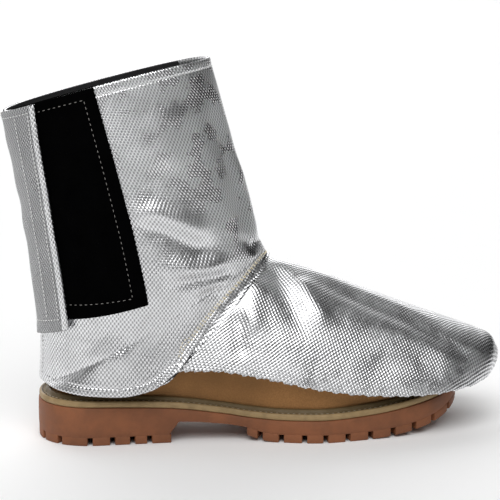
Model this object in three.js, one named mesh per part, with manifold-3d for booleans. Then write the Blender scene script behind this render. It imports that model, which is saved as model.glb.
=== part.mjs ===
// An aluminized spat fastened over a welted work boot, as a standalone three.js model.
// Millimetres, +X towards the toe, +Z up. The boot is a right one: its outer side, where the
// spat closes, faces -Y. Run it with the npm packages three and manifold-3d.
import * as THREE from "three";
import { mergeVertices } from "three/addons/utils/BufferGeometryUtils.js";
import Module from "manifold-3d";

const wasm = await Module();
wasm.setup();

// Sizes of the boot's sole
const SOLE_LENGTH = 308;
const BALL_WIDTH = 110;
const WAIST_WIDTH = 73;
const HEEL_WIDTH = 79;
const HEEL_STACK = 27.5;
const FOREPART_THICKNESS = 16;
const TOE_SPRING = 13;
const SHANK_THICKNESS = 9.5;
const HEEL_BREAST_LENGTH = 97;
const TREAD_START = 145;
const LUG_HEIGHT = 5.6;
const LUG_REACH = 17;
const LUG_GROOVE_WIDTH = 3.6;
const CENTRE_LUG_LENGTH = 13;
const CENTRE_LUG_WIDTH = 22;

// Sizes of the boot's welt, upper and insole
const WELT_THICKNESS = 4.4;
const WELT_WIDTH = 12;
const WELT_SETBACK = 0.6;
const WELT_RIB_HEIGHT = 2.6;
const WELT_RIB_WIDTH = 3.4;
const UPPER_SETBACK = 9.4;
const UPPER_WALL = 2.4;
const COLLAR_HEIGHT = 157;
const COLLAR_DEPTH = 124;
const COLLAR_WIDTH = 74;
const TOE_CAP_HEIGHT = 81;
const INSTEP_TAPER = 0.2;
const INSOLE_THICKNESS = 5;

// Sizes of the spat
const SPAT_FRONT_HEIGHT = 270;
const INSTEP_HEIGHT = 140;
const FLARE_CLEARANCE = 13;
const FLARE_WIDTH = BALL_WIDTH + 2 * FLARE_CLEARANCE;
const RIM_WIDTH = 80;
const ANKLE_WIDTH = 104;
const CLOTH = 1.6;
const SEAM_LAP = 11;
const SLIT_ANGLE = 1.7;

// Sizes of the hook-and-loop closure
const LOOP_THICKNESS = 1.4;
const HOOK_THICKNESS = 1.1;
const FLAP_BINDING = 0.9;

const GAP = 0.3;
const LAYER_GAP = 0.55;
const GEOMETRY_PRECISION = 1e-3;
const DEG = Math.PI / 180;

// Smooth interpolation through a table, without overshoot between rows. Rows are sorted by `at`,
// and value picks a number from a row.
function along(rows, value) {
  const at = rows.map((row) => row.at);
  const y = rows.map(value);
  const last = rows.length - 1;
  const secant = (i) => (y[i + 1] - y[i]) / (at[i + 1] - at[i]);
  const slope = y.map((_, i) => {
    const before = secant(Math.max(i - 1, 0));
    const after = secant(Math.min(i, last - 1));
    return before * after <= 0 ? 0 : (2 * before * after) / (before + after);
  });
  return (t) => {
    const x = Math.min(Math.max(t, at[0]), at[last]);
    let i = 0;
    while (i < last - 1 && x > at[i + 1]) i += 1;
    const h = at[i + 1] - at[i];
    const s = (x - at[i]) / h;
    const rise = y[i + 1] - y[i];
    const c = h * slope[i];
    const d = h * slope[i + 1];
    return y[i] + s * (c + s * (3 * rise - 2 * c - d + s * (c + d - 2 * rise)));
  };
}

const mix = (a, b, t) => a + (b - a) * t;
const spaced = (n, from, to) => Array.from({ length: n + 1 }, (_, i) => mix(from, to, i / n));

// Rows of a table as records with the given column names
const table = (columns, rows) =>
  rows.map((row) => Object.fromEntries(columns.map((column, i) => [column, row[i]])));

// A closed geometry from points on a grid, lofted between a low and a high face. The grid is open,
// or wraps round on itself along its first index.
function shellGeometry(rows, columns, wrap, point) {
  const vertices = [];
  const index = [];
  const across = wrap ? rows : rows + 1;
  for (const high of [0, 1]) {
    for (let i = 0; i < across; i += 1) {
      for (let j = 0; j <= columns; j += 1) vertices.push(...point(i, j, high));
    }
  }
  const id = (i, j, high) => high * across * (columns + 1) + (i % across) * (columns + 1) + j;
  const quad = (a, b, c, d) => index.push(a, b, c, a, c, d);
  for (let i = 0; i < rows; i += 1) {
    for (let j = 0; j < columns; j += 1) {
      quad(id(i, j, 1), id(i + 1, j, 1), id(i + 1, j + 1, 1), id(i, j + 1, 1));
      quad(id(i, j, 0), id(i, j + 1, 0), id(i + 1, j + 1, 0), id(i + 1, j, 0));
    }
    quad(id(i, 0, 0), id(i + 1, 0, 0), id(i + 1, 0, 1), id(i, 0, 1));
    quad(id(i, columns, 1), id(i + 1, columns, 1), id(i + 1, columns, 0), id(i, columns, 0));
  }
  for (let j = 0; j < columns && !wrap; j += 1) {
    quad(id(0, j, 0), id(0, j, 1), id(0, j + 1, 1), id(0, j + 1, 0));
    quad(id(rows, j, 1), id(rows, j, 0), id(rows, j + 1, 0), id(rows, j + 1, 1));
  }
  const geometry = new THREE.BufferGeometry();
  geometry.setAttribute("position", new THREE.Float32BufferAttribute(vertices, 3));
  geometry.setIndex(index);
  return geometry;
}

// Solids for cutting and joining
function toSolid(geometry) {
  const bare = geometry.index ? geometry.clone() : geometry;
  bare.deleteAttribute("normal");
  bare.deleteAttribute("uv");
  const merged = mergeVertices(bare, GEOMETRY_PRECISION);
  return new wasm.Manifold(
    new wasm.Mesh({
      numProp: 3,
      vertProperties: new Float32Array(merged.attributes.position.array),
      triVerts: new Uint32Array(merged.index.array),
    }),
  );
}

function toGeometry(solid) {
  const mesh = solid.getMesh();
  const geometry = new THREE.BufferGeometry();
  geometry.setAttribute("position", new THREE.BufferAttribute(mesh.vertProperties, 3));
  geometry.setIndex(new THREE.BufferAttribute(mesh.triVerts, 1));
  return geometry;
}

const union = (solids) => solids.reduce((sum, solid) => sum.add(solid));

// Plan outline of the sole. The outer side is lateral, and `at` is a share of the sole's length
// from the heel. Widths follow the named one of each row.
const OUTLINE = [
  { at: 0.0, width: HEEL_WIDTH, share: 1.0, outer: 0.5, axis: 0.0 },
  { at: 0.14, width: HEEL_WIDTH, share: 1.0, outer: 0.5, axis: 0.0 },
  { at: 0.27, width: HEEL_WIDTH, share: 0.97, outer: 0.51, axis: 0.0 },
  { at: 0.42, width: WAIST_WIDTH, share: 1.0, outer: 0.55, axis: 0.0 },
  { at: 0.55, width: BALL_WIDTH, share: 0.84, outer: 0.55, axis: 0.0 },
  { at: 0.66, width: BALL_WIDTH, share: 0.99, outer: 0.53, axis: 0.003 },
  { at: 0.76, width: BALL_WIDTH, share: 1.0, outer: 0.51, axis: 0.012 },
  { at: 0.88, width: BALL_WIDTH, share: 0.95, outer: 0.5, axis: 0.02 },
  { at: 1.0, width: BALL_WIDTH, share: 0.88, outer: 0.5, axis: 0.028 },
];
const soleWidth = along(OUTLINE, (row) => row.width * row.share);
const outerShare = along(OUTLINE, (row) => row.outer);
const soleAxis = along(OUTLINE, (row) => row.axis * SOLE_LENGTH);
const HEEL_CAP = { length: 0.5 * HEEL_WIDTH, power: 2.15 };
const TOE_CAP = { length: 0.5 * BALL_WIDTH, power: 2.2 };

function capFactor(distance, cap) {
  const t = Math.min(Math.max(distance / cap.length, 0), 1);
  return (1 - (1 - t) ** cap.power) ** (1 / cap.power);
}

// A point of the outline at turn 0 (toe) to 1 (heel) and on to 2 (toe again) round the inner side
function outlinePoint(turn) {
  const angle = turn * Math.PI;
  const x = (SOLE_LENGTH * (1 + Math.cos(angle))) / 2;
  const share = x / SOLE_LENGTH;
  const side = turn <= 1 ? outerShare(share) : outerShare(share) - 1;
  const cap = capFactor(x, HEEL_CAP) * capFactor(SOLE_LENGTH - x, TOE_CAP);
  return new THREE.Vector2(x, soleAxis(share) - side * soleWidth(share) * cap);
}

// Half the turn over which the outline's direction is taken
const TURN_STEP = 1 / 720;

// A point of the outline moved inwards by a distance
function insetPoint(turn, distance) {
  const tangent = outlinePoint((turn + TURN_STEP) % 2).sub(outlinePoint((turn + 2 - TURN_STEP) % 2));
  const inwards = new THREE.Vector2(tangent.y, -tangent.x).normalize();
  return outlinePoint(turn % 2).addScaledVector(inwards, distance);
}

const insetOutline = (distance, count) =>
  spaced(count, 0, 2)
    .slice(0, count)
    .map((turn) => insetPoint(turn, distance));

// Heights of the sole along its length: rise is a share of the heel's extra height, spring of the
// toe spring
const SOLE_TOP = [
  { at: 0.0, rise: 1.03, spring: 0 },
  { at: 0.12, rise: 1.0, spring: 0 },
  { at: 0.25, rise: 0.86, spring: 0 },
  { at: 0.33, rise: 0.69, spring: 0 },
  { at: 0.41, rise: 0.38, spring: 0 },
  { at: 0.48, rise: 0.1, spring: 0 },
  { at: 0.56, rise: 0.0, spring: 0 },
  { at: 0.66, rise: 0.0, spring: 0.02 },
  { at: 0.76, rise: 0.0, spring: 0.14 },
  { at: 0.87, rise: 0.0, spring: 0.5 },
  { at: 1.0, rise: 0.0, spring: 1.0 },
];
const topRise = along(SOLE_TOP, (row) => row.rise);
const topSpring = along(SOLE_TOP, (row) => row.spring);
const FOREPART_FLAT_SHARE = 0.72;

// How much of the toe spring the tread takes along the forepart, at its tip and at its rear edge
const TREAD_SWEEP = 1.1;
const TREAD_TIP = 0.4;
const TREAD_LEAD = 0.35;

function soleTop(x) {
  const share = x / SOLE_LENGTH;
  const heel = (HEEL_STACK - FOREPART_THICKNESS) * topRise(share);
  return FOREPART_THICKNESS + heel + TOE_SPRING * topSpring(share);
}

function treadBottom(x) {
  const beyond = (x / SOLE_LENGTH - FOREPART_FLAT_SHARE) / (1 - FOREPART_FLAT_SHARE);
  const rise = Math.max(beyond, 0);
  const start = Math.max(1 - (x - TREAD_START) / CENTRE_LUG_WIDTH, 0);
  return TOE_SPRING * (TREAD_SWEEP * rise ** 2 + TREAD_TIP * rise ** 10 + TREAD_LEAD * start ** 2);
}

// A band of the side view between two height functions, extruded across the whole width
function sideBand(from, to, low, high, steps = 36) {
  const xs = spaced(steps, from, to);
  const shape = new THREE.Shape([
    ...xs.map((x) => new THREE.Vector2(x, low(x))),
    ...xs.reverse().map((x) => new THREE.Vector2(x, high(x))),
  ]);
  return sideExtrusion(shape);
}

function sideExtrusion(shape) {
  const depth = 2 * BALL_WIDTH;
  const geometry = new THREE.ExtrudeGeometry(shape, { depth, bevelEnabled: false });
  geometry.rotateX(Math.PI / 2);
  geometry.translate(0, depth / 2, 0);
  return toSolid(geometry);
}

// A plan shape extruded upwards through the whole height of the sole
function planPrism(points, holes = []) {
  const shape = new THREE.Shape(points);
  shape.holes = holes.map((hole) => new THREE.Path(hole));
  const low = -HEEL_STACK;
  const geometry = new THREE.ExtrudeGeometry(shape, { depth: 4 * HEEL_STACK, bevelEnabled: false });
  geometry.translate(0, 0, low);
  return toSolid(geometry);
}

const OUTLINE_POINTS = 46;
const HEEL_ROUND = 5;
const BREAST_SLOPE = 7;
const SHANK_FRONT_THICKNESS = 0.8 * SHANK_THICKNESS;

// Side profile of the outsole, with the heel block, the arch of the waist and the toe spring
function outsoleProfile(lift) {
  const archTop = soleTop(HEEL_BREAST_LENGTH) - SHANK_THICKNESS;
  const archFront = soleTop(TREAD_START) - SHANK_FRONT_THICKNESS;
  const shape = new THREE.Shape();
  shape.moveTo(0, HEEL_ROUND + lift);
  shape.quadraticCurveTo(0.3 * HEEL_ROUND, lift, 2.2 * HEEL_ROUND, lift);
  shape.lineTo(HEEL_BREAST_LENGTH - BREAST_SLOPE, lift);
  shape.lineTo(HEEL_BREAST_LENGTH, archTop);
  shape.quadraticCurveTo(mix(HEEL_BREAST_LENGTH, TREAD_START, 0.6), archTop, TREAD_START, archFront);
  shape.lineTo(TREAD_START, lift);
  spaced(14, TREAD_START + 1, SOLE_LENGTH).forEach((x) => shape.lineTo(x, treadBottom(x) + lift));
  spaced(22, SOLE_LENGTH, 0).forEach((x) => shape.lineTo(x, soleTop(x)));
  return sideExtrusion(new THREE.Shape(shape.getPoints(5)));
}

// Grooves between the side lugs, as shares of the sole's length from the heel, on both sides
const SIDE_GROOVES = [
  ...[0.009, 0.042, 0.11, 0.162, 0.208, 0.247],
  ...[0.5, 0.547, 0.599, 0.648, 0.701, 0.756, 0.811, 0.864, 0.915, 0.962, 0.991],
];

// Boxes square to the outline at the given turns
function grooves(turns) {
  return turns.map((turn) => {
    const p = outlinePoint(turn);
    const tangent = outlinePoint((turn + TURN_STEP) % 2).sub(outlinePoint((turn + 2 - TURN_STEP) % 2));
    const box = new THREE.BoxGeometry(LUG_GROOVE_WIDTH, 4 * LUG_REACH, 4 * HEEL_STACK);
    box.rotateZ(Math.atan2(tangent.y, tangent.x));
    box.translate(p.x, p.y, 0);
    return toSolid(box);
  });
}

// Turn of the outline on the outer side at a share of the length
const turnAt = (share) => Math.acos(2 * share - 1) / Math.PI;

function centreLugs() {
  const lugs = [];
  const pitch = CENTRE_LUG_LENGTH + LUG_GROOVE_WIDTH;
  const forepartEnd = SOLE_LENGTH - 2 * LUG_REACH;
  const runs = [
    { from: 2 * LUG_REACH, to: HEEL_BREAST_LENGTH - LUG_REACH },
    { from: TREAD_START + LUG_REACH, to: forepartEnd },
  ];
  for (const run of runs) {
    for (let x = run.from; x <= run.to; x += pitch) {
      const box = new THREE.BoxGeometry(CENTRE_LUG_LENGTH, CENTRE_LUG_WIDTH, 4 * HEEL_STACK);
      box.translate(x, soleAxis(x / SOLE_LENGTH), 0);
      lugs.push(toSolid(box));
    }
  }
  return lugs;
}

function outsoleSolid() {
  const outline = planPrism(insetOutline(0, OUTLINE_POINTS));
  const lugRing = planPrism(insetOutline(0, OUTLINE_POINTS), [
    insetOutline(LUG_REACH, OUTLINE_POINTS).reverse(),
  ]);
  const outerTurns = SIDE_GROOVES.map(turnAt);
  const cuts = grooves([0, 1, ...outerTurns, ...outerTurns.map((turn) => 2 - turn)]);
  const lugs = union([lugRing.subtract(union(cuts)), ...centreLugs()]);
  const tread = lugs.intersect(outline).intersect(outsoleProfile(0));
  return outline.intersect(outsoleProfile(LUG_HEIGHT)).add(tread);
}

// Welt: a band round the sole's edge with a raised rib against the upper
const weltTop = (x) => soleTop(x) + GAP + WELT_THICKNESS;

function weltSolid() {
  const ring = (outer, inner) =>
    planPrism(insetOutline(outer, OUTLINE_POINTS), [insetOutline(inner, OUTLINE_POINTS).reverse()]);
  const low = (x) => soleTop(x) + GAP;
  const band = sideBand(0, SOLE_LENGTH, low, weltTop, 22);
  const ribBand = sideBand(0, SOLE_LENGTH, low, (x) => weltTop(x) + WELT_RIB_HEIGHT, 22);
  const ribInner = UPPER_SETBACK - LAYER_GAP;
  const rib = ring(ribInner - WELT_RIB_WIDTH, ribInner);
  return ring(WELT_SETBACK, WELT_WIDTH).intersect(band).add(rib.intersect(ribBand));
}

function insoleSolid() {
  const prism = planPrism(insetOutline(WELT_WIDTH + GAP, OUTLINE_POINTS));
  const low = (x) => soleTop(x) + GAP;
  return prism.intersect(sideBand(0, SOLE_LENGTH, low, (x) => low(x) + INSOLE_THICKNESS, 22));
}

// Rings of the boot's upper, from the feather line up to the collar. front and back are where
// the ring meets the centre plane: X in sole lengths, Z in the named height of the row. bulge is
// the half width against the welt's, and outline is how closely the ring follows the sole.
const RINGS = table(["at", "front", "back", "height", "frontZ", "backZ", "bulge", "outline"], [
  [0, 0.9695, 0.0305, TOE_CAP_HEIGHT, 0.46, 0.44, 1.0, 1],
  [1, 0.9695, 0.0305, TOE_CAP_HEIGHT, 0.5, 0.46, 1.0, 1],
  [2, 0.957, 0.023, TOE_CAP_HEIGHT, 0.73, 0.51, 1.03, 0.95],
  [3, 0.928, 0.02, TOE_CAP_HEIGHT, 0.91, 0.54, 0.95, 0.85],
  [4, 0.875, 0.02, TOE_CAP_HEIGHT, 0.995, 0.6, 0.86, 0.7],
  [5, 0.79, 0.02, TOE_CAP_HEIGHT, 1.05, 0.69, 0.84, 0.4],
  [6, 0.695, 0.025, TOE_CAP_HEIGHT, 1.19, 0.82, 0.84, 0.2],
  [7, 0.605, 0.032, INSTEP_HEIGHT, 0.7906, 0.5831, 0.81, 0.05],
  [8, 0.525, 0.037, INSTEP_HEIGHT, 0.8915, 0.7065, 0.79, 0],
  [9, 0.485, 0.038, INSTEP_HEIGHT, 0.9981, 0.8523, 0.79, 0],
  [10, 0.46, 0.036, COLLAR_HEIGHT, 0.96, 0.88, 0.8, 0],
]);
const COLLAR_BACK_SHARE = 0.034;
const COLLAR_RING = {
  at: 11,
  front: COLLAR_BACK_SHARE + COLLAR_DEPTH / SOLE_LENGTH,
  back: COLLAR_BACK_SHARE,
  height: COLLAR_HEIGHT,
  frontZ: 1.0,
  backZ: 0.955,
  bulge: COLLAR_WIDTH / (BALL_WIDTH - 2 * UPPER_SETBACK),
  outline: 0,
};
const upperRings = [...RINGS, COLLAR_RING];
const ring = {
  front: along(upperRings, (row) => row.front * SOLE_LENGTH),
  back: along(upperRings, (row) => row.back * SOLE_LENGTH),
  frontZ: along(upperRings, (row) => row.frontZ * row.height),
  backZ: along(upperRings, (row) => row.backZ * row.height),
  bulge: along(upperRings, (row) => row.bulge),
  outline: along(upperRings, (row) => row.outline),
};

// How far the upper stands straight up behind the welt's rib before it curves over the last
const FEATHER_RISE = 1.4 * WELT_RIB_HEIGHT;

// A point on the boot's upper at a turn round it and a level from the feather line (0) to the
// collar (1)
function upperPoint(turn, level) {
  const at = level * COLLAR_RING.at;
  const feather = insetPoint(turn, UPPER_SETBACK);
  const featherShare = (feather.x - UPPER_SETBACK) / (SOLE_LENGTH - 2 * UPPER_SETBACK);
  const roundShare = (1 + Math.cos(turn * Math.PI)) / 2;
  const follow = ring.outline(at);
  const share = mix(roundShare, featherShare, follow);
  const taper = 1 - INSTEP_TAPER * share ** 3;
  const round = -Math.sin(turn * Math.PI) * (BALL_WIDTH / 2 - UPPER_SETBACK) * taper;
  const y = mix(round, feather.y, follow) * ring.bulge(at);
  const x = mix(ring.back(at), ring.front(at), share);
  const base = weltTop(x) + GAP + FEATHER_RISE * Math.min(at, 1);
  const slanted = Math.max(mix(ring.backZ(at), ring.frontZ(at), share), base);
  return new THREE.Vector3(x, y, mix(base, slanted, Math.min(Math.max(at - 1, 0), 1)));
}

// Moves a surface point outwards along the surface's normal, found from its neighbours
function offsetPoint(surface, u, v, distance) {
  const step = 1e-3;
  const p = surface(u, v);
  const du = surface(u + step, v).sub(surface(u - step, v));
  const dv = surface(u, Math.min(v + step, 1)).sub(surface(u, Math.max(v - step, 0)));
  return p.addScaledVector(dv.cross(du).normalize(), distance);
}

function bootUpperGeometry() {
  const levels = [0, 1, 1.5, 2, 2.6, 3.3, 4.2, 5.4, 6.7, 8, 9.4, COLLAR_RING.at];
  const top = levels.length - 1;
  return shellGeometry(OUTLINE_POINTS, top, true, (i, j, high) => {
    const turn = 2 - (2 * i) / OUTLINE_POINTS;
    const rise = levels[j] / COLLAR_RING.at;
    const outer = upperPoint(turn, rise);
    if (high) return outer;
    const inner = offsetPoint(upperPoint, turn, rise, -UPPER_WALL);
    return j === 0 || j === top ? inner.setZ(outer.z) : inner;
  });
}

// Sections of the spat, from the rim (0) down the leg, round the heel and out to the toe (1).
// Each is a plane curve from a point on the front or ridge line to its end at the back slit or
// the hem. X is a share of the sole's length and Z of the row's named height. spread is half the
// named width, and open is the angle in degrees that the curve turns through.
const LEG = SPAT_FRONT_HEIGHT;
const FOOT = INSTEP_HEIGHT;
const BACK = 180 - SLIT_ANGLE;
const SECTIONS = table(["at", "x", "z", "height", "endX", "endZ", "width", "spread", "open"], [
  [0.0, 0.4039, 1.0, LEG, -0.063, 0.868, RIM_WIDTH, 1.0, BACK],
  [0.09, 0.4295, 0.896, LEG, -0.05, 0.785, RIM_WIDTH, 1.07, BACK],
  [0.2, 0.461, 0.764, LEG, -0.0285, 0.656, ANKLE_WIDTH, 0.9, BACK],
  [0.32, 0.493, 0.625, LEG, -0.0125, 0.53, ANKLE_WIDTH, 0.97, BACK],
  [0.405, 0.517, 1.0, FOOT, 0.0025, 0.735, ANKLE_WIDTH, 1.0, BACK],
  [0.455, 0.5225, 0.979, FOOT, 0.0085, 0.55, ANKLE_WIDTH, 0.99, BACK],
  [0.495, 0.5275, 0.959, FOOT, 0.007, 0.42, ANKLE_WIDTH, 0.97, BACK],
  [0.525, 0.53, 0.948, FOOT, 0.0036, 0.302, ANKLE_WIDTH, 0.95, BACK],
  [0.55, 0.5315, 0.942, FOOT, 0.03, 0.288, ANKLE_WIDTH, 0.95, 148],
  [0.585, 0.5335, 0.933, FOOT, 0.1, 0.27, ANKLE_WIDTH, 0.955, 120],
  [0.62, 0.535, 0.926, FOOT, 0.175, 0.266, ANKLE_WIDTH, 0.965, 104],
  [0.655, 0.5375, 0.918, FOOT, 0.25, 0.3, ANKLE_WIDTH, 0.99, 93],
  [0.69, 0.546, 0.912, FOOT, 0.315, 0.395, FLARE_WIDTH, 0.785, 84],
  [0.735, 0.59, 0.885, FOOT, 0.385, 0.396, FLARE_WIDTH, 0.84, 79],
  [0.79, 0.665, 0.82, FOOT, 0.505, 0.353, FLARE_WIDTH, 0.92, 74],
  [0.845, 0.76, 0.733, FOOT, 0.64, 0.285, FLARE_WIDTH, 0.99, 70],
  [0.895, 0.865, 0.639, FOOT, 0.785, 0.24, FLARE_WIDTH, 1.02, 68],
  [0.935, 0.965, 0.554, FOOT, 0.905, 0.226, FLARE_WIDTH, 0.96, 66],
  [0.965, 1.052, 0.48, FOOT, 1.002, 0.233, FLARE_WIDTH, 0.79, 64],
  [0.985, 1.093, 0.436, FOOT, 1.06, 0.256, FLARE_WIDTH, 0.58, 62],
  [1.0, 1.11, 0.37, FOOT, 1.086, 0.288, FLARE_WIDTH, 0.42, 60],
]);
const HEEL_CORNER_SHARE = 0.525;
const SEAM_SHARE = 0.69;
const SEAM_BEND_SHARE = 0.052;
const section = {
  x: along(SECTIONS, (row) => row.x * SOLE_LENGTH),
  z: along(SECTIONS, (row) => row.z * row.height),
  endX: along(SECTIONS, (row) => row.endX * SOLE_LENGTH),
  endZ: along(SECTIONS, (row) => row.endZ * row.height),
  half: along(SECTIONS, (row) => (row.spread * row.width) / 2),
  open: along(SECTIONS, (row) => row.open * DEG),
};

// How far the rim rises or dips halfway round each side, fading out down the leg
const RIM_BOW = { outer: 4.5, inner: -0.6, fade: 0.25 };

// A point on the spat at an angle from the front line, negative on the outer side
function spatPoint(angle, at) {
  const open = section.open(at);
  const share = (1 - Math.cos(angle)) / (1 - Math.cos(open));
  const side = Math.sin(angle);
  const bow = side < 0 ? RIM_BOW.outer : RIM_BOW.inner;
  const rimRise = bow * side ** 2 * Math.max(1 - at / RIM_BOW.fade, 0);
  const x = mix(section.x(at), section.endX(at), share);
  const y = section.half(at) * side + soleAxis(x / SOLE_LENGTH);
  return new THREE.Vector3(x, y, mix(section.z(at), section.endZ(at), share) + rimRise);
}

// Where the seam between leg and vamp runs, at u from 0 (inner hem) over the instep to 1
const seamAt = (u) => SEAM_SHARE - SEAM_BEND_SHARE * Math.sin(Math.PI * Math.abs(2 * u - 1));

// A sheet of the spat between two heights above its outer face. The corner function gives angle
// and section for u and v, which run from 0 to 1 across and down it.
function sheetGeometry(across, down, corner, low, high) {
  return shellGeometry(across, down, false, (i, j, top) => {
    const [angle, at] = corner(i / across, j / down);
    return offsetPoint(spatPoint, angle, at, top ? high : low);
  });
}

const SPAT_COLUMNS = 30;

function legPanelGeometry() {
  const rows = 20;
  const heelShare = 13 / rows;
  const corner = (u, v) => {
    const below = (v - heelShare) / (1 - heelShare);
    const above = HEEL_CORNER_SHARE * (v / heelShare);
    const at = below < 0 ? above : mix(HEEL_CORNER_SHARE, seamAt(u), below);
    return [mix(section.open(at), -section.open(at), u), at];
  };
  return sheetGeometry(SPAT_COLUMNS, rows, corner, -CLOTH, 0);
}

// The vamp lies a little under the leg, and its rows are closer together towards the toe
const TUCK_GAP = 1.4 * LAYER_GAP;
const ROW_CROWDING = 0.8;

function vampPanelGeometry() {
  const rows = 13;
  const lap = SEAM_LAP / SOLE_LENGTH;
  const corner = (u, v) => {
    const beyond = (v * rows - 1) / (rows - 1);
    const at = beyond < 0 ? seamAt(u) - lap : mix(seamAt(u), 1, beyond ** ROW_CROWDING);
    return [mix(section.open(at), -section.open(at), u), at];
  };
  const face = -CLOTH - TUCK_GAP;
  return sheetGeometry(SPAT_COLUMNS, rows, corner, face - CLOTH, face);
}

// Closure on the outer side: a loop panel on the leg, and a flap that comes round the back with
// a hook strip under it. Angles are in degrees from the front line.
const LOOP = {
  frontTopAngle: -100,
  frontBottomAngle: -95,
  backAngle: -161,
  topShare: 0.002,
  bottomFrontShare: 0.458,
  bottomBackShare: 0.43,
};
const FLAP = {
  edgeTopAngle: -134,
  edgeBottomAngle: -138,
  edgeBowAngle: -1.8,
  bottomShare: 0.455,
  lowAngle: -177,
  highAngle: -164,
};
const FLAP_ANGLES = [-146, -152, -159, -164, -168, -172, -177, -183, -190, -197, -205, -213];
const flapEdge = (v) =>
  mix(FLAP.edgeTopAngle, FLAP.edgeBottomAngle, v) + FLAP.edgeBowAngle * Math.sin(Math.PI * v);
const FLAP_BINDING_ANGLE = 5;
const HOOK = { backAngle: -160, topShare: 0.01 };

function loopPanelGeometry() {
  const corner = (u, v) => {
    const front = mix(LOOP.frontTopAngle, LOOP.frontBottomAngle, v);
    const bottom = mix(LOOP.bottomFrontShare, LOOP.bottomBackShare, u);
    return [mix(front, LOOP.backAngle, u) * DEG, mix(LOOP.topShare, bottom, v)];
  };
  return sheetGeometry(7, 10, corner, LAYER_GAP, LAYER_GAP + LOOP_THICKNESS);
}

const HOOK_BASE = 2 * LAYER_GAP + LOOP_THICKNESS;
const FLAP_BASE = HOOK_BASE + HOOK_THICKNESS + LAYER_GAP;

function hookStripGeometry() {
  const corner = (u, v) => {
    const edge = flapEdge(v) - FLAP_BINDING_ANGLE;
    return [mix(edge, HOOK.backAngle, u) * DEG, mix(HOOK.topShare, LOOP.bottomBackShare, v)];
  };
  return sheetGeometry(4, 10, corner, HOOK_BASE, HOOK_BASE + HOOK_THICKNESS);
}

// The flap is sewn down on the inner side, crosses the slit and rises on to the hook strip. Its
// free edge is bound, and thicker.
function flapGeometry() {
  const down = 10;
  return shellGeometry(FLAP_ANGLES.length + 1, down, false, (i, j, top) => {
    const v = j / down;
    const bound = i < 2;
    const angle = bound ? flapEdge(v) - i * FLAP_BINDING_ANGLE : FLAP_ANGLES[i - 2];
    const rise = THREE.MathUtils.smoothstep(angle, FLAP.lowAngle, FLAP.highAngle);
    const base = mix(LAYER_GAP, FLAP_BASE, rise);
    const face = base + CLOTH + (bound ? FLAP_BINDING : 0);
    return offsetPoint(spatPoint, angle * DEG, FLAP.bottomShare * v, top ? face : base);
  });
}

const MATERIALS = {
  aluminized: new THREE.MeshStandardMaterial({ color: 0xc9cbcd, metalness: 0.95, roughness: 0.35 }),
  loop: new THREE.MeshStandardMaterial({ color: 0x0c0c0d, metalness: 0, roughness: 0.95 }),
  leather: new THREE.MeshStandardMaterial({ color: 0x7a5a35, metalness: 0, roughness: 0.85 }),
  welt: new THREE.MeshStandardMaterial({ color: 0x9c8457, metalness: 0, roughness: 0.6 }),
  rubber: new THREE.MeshStandardMaterial({ color: 0x8a5540, metalness: 0, roughness: 0.7 }),
  lining: new THREE.MeshStandardMaterial({ color: 0x4a4038, metalness: 0, roughness: 0.9 }),
};

const spat = new THREE.Group();
spat.name = "spat_on_boot";

function addPiece(name, geometry, material) {
  const mesh = new THREE.Mesh(geometry, material);
  mesh.name = name;
  spat.add(mesh);
}

addPiece("outsole", toGeometry(outsoleSolid()), MATERIALS.rubber);
addPiece("welt", toGeometry(weltSolid()), MATERIALS.welt);
addPiece("insole", toGeometry(insoleSolid()), MATERIALS.lining);
addPiece("boot_upper", bootUpperGeometry(), MATERIALS.leather);
addPiece("leg_panel", legPanelGeometry(), MATERIALS.aluminized);
addPiece("vamp_panel", vampPanelGeometry(), MATERIALS.aluminized);
addPiece("loop_panel", loopPanelGeometry(), MATERIALS.loop);
addPiece("hook_strip", hookStripGeometry(), MATERIALS.loop);
addPiece("closure_flap", flapGeometry(), MATERIALS.aluminized);

// The origin is the middle of the bounding box, on the floor
const bounds = new THREE.Box3().setFromObject(spat);
const middle = bounds.getCenter(new THREE.Vector3());
spat.position.set(-middle.x, -middle.y, -bounds.min.z);

export default spat;
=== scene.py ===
"""Fine surfaces, stitching and finishes of an aluminized spat over a welted work boot.

Lengths are in millimetres unless a name says otherwise. The boot's own frame has X from the back
of the sole to its toe, Z up from the floor and -Y on the outer side, where the spat closes.
"""

import math
from collections import namedtuple

import bmesh
import bpy
import numpy as np
from mathutils import Matrix, Vector


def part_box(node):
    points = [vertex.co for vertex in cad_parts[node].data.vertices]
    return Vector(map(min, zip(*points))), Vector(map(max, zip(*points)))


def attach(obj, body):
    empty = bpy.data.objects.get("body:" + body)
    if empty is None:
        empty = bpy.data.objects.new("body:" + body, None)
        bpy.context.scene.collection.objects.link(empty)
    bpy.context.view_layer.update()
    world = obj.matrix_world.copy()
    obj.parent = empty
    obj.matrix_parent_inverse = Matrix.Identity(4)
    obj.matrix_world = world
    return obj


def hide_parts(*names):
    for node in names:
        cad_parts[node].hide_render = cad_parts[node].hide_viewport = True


bl_info = {
    "name": "Aluminized Spat",
    "version": (1, 0, 0),
    "blender": (4, 5, 0),
    "location": "View3D > Sidebar > Spat",
    "description": "Builds the cloth, stitching and boot of an aluminized spat",
    "category": "Add Mesh",
}

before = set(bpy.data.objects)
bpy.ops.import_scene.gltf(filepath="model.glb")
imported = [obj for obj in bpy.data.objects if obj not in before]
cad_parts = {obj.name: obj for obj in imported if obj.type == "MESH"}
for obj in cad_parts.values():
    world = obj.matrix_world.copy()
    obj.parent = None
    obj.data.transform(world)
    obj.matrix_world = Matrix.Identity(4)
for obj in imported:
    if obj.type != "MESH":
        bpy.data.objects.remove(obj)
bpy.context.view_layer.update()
MM = 0.001
BODY = "root"


def box_in_mm(node):
    """Lowest and highest corner of a solid, in millimetres."""
    low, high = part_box(node)
    return np.array(low) / MM, np.array(high) / MM


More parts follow.
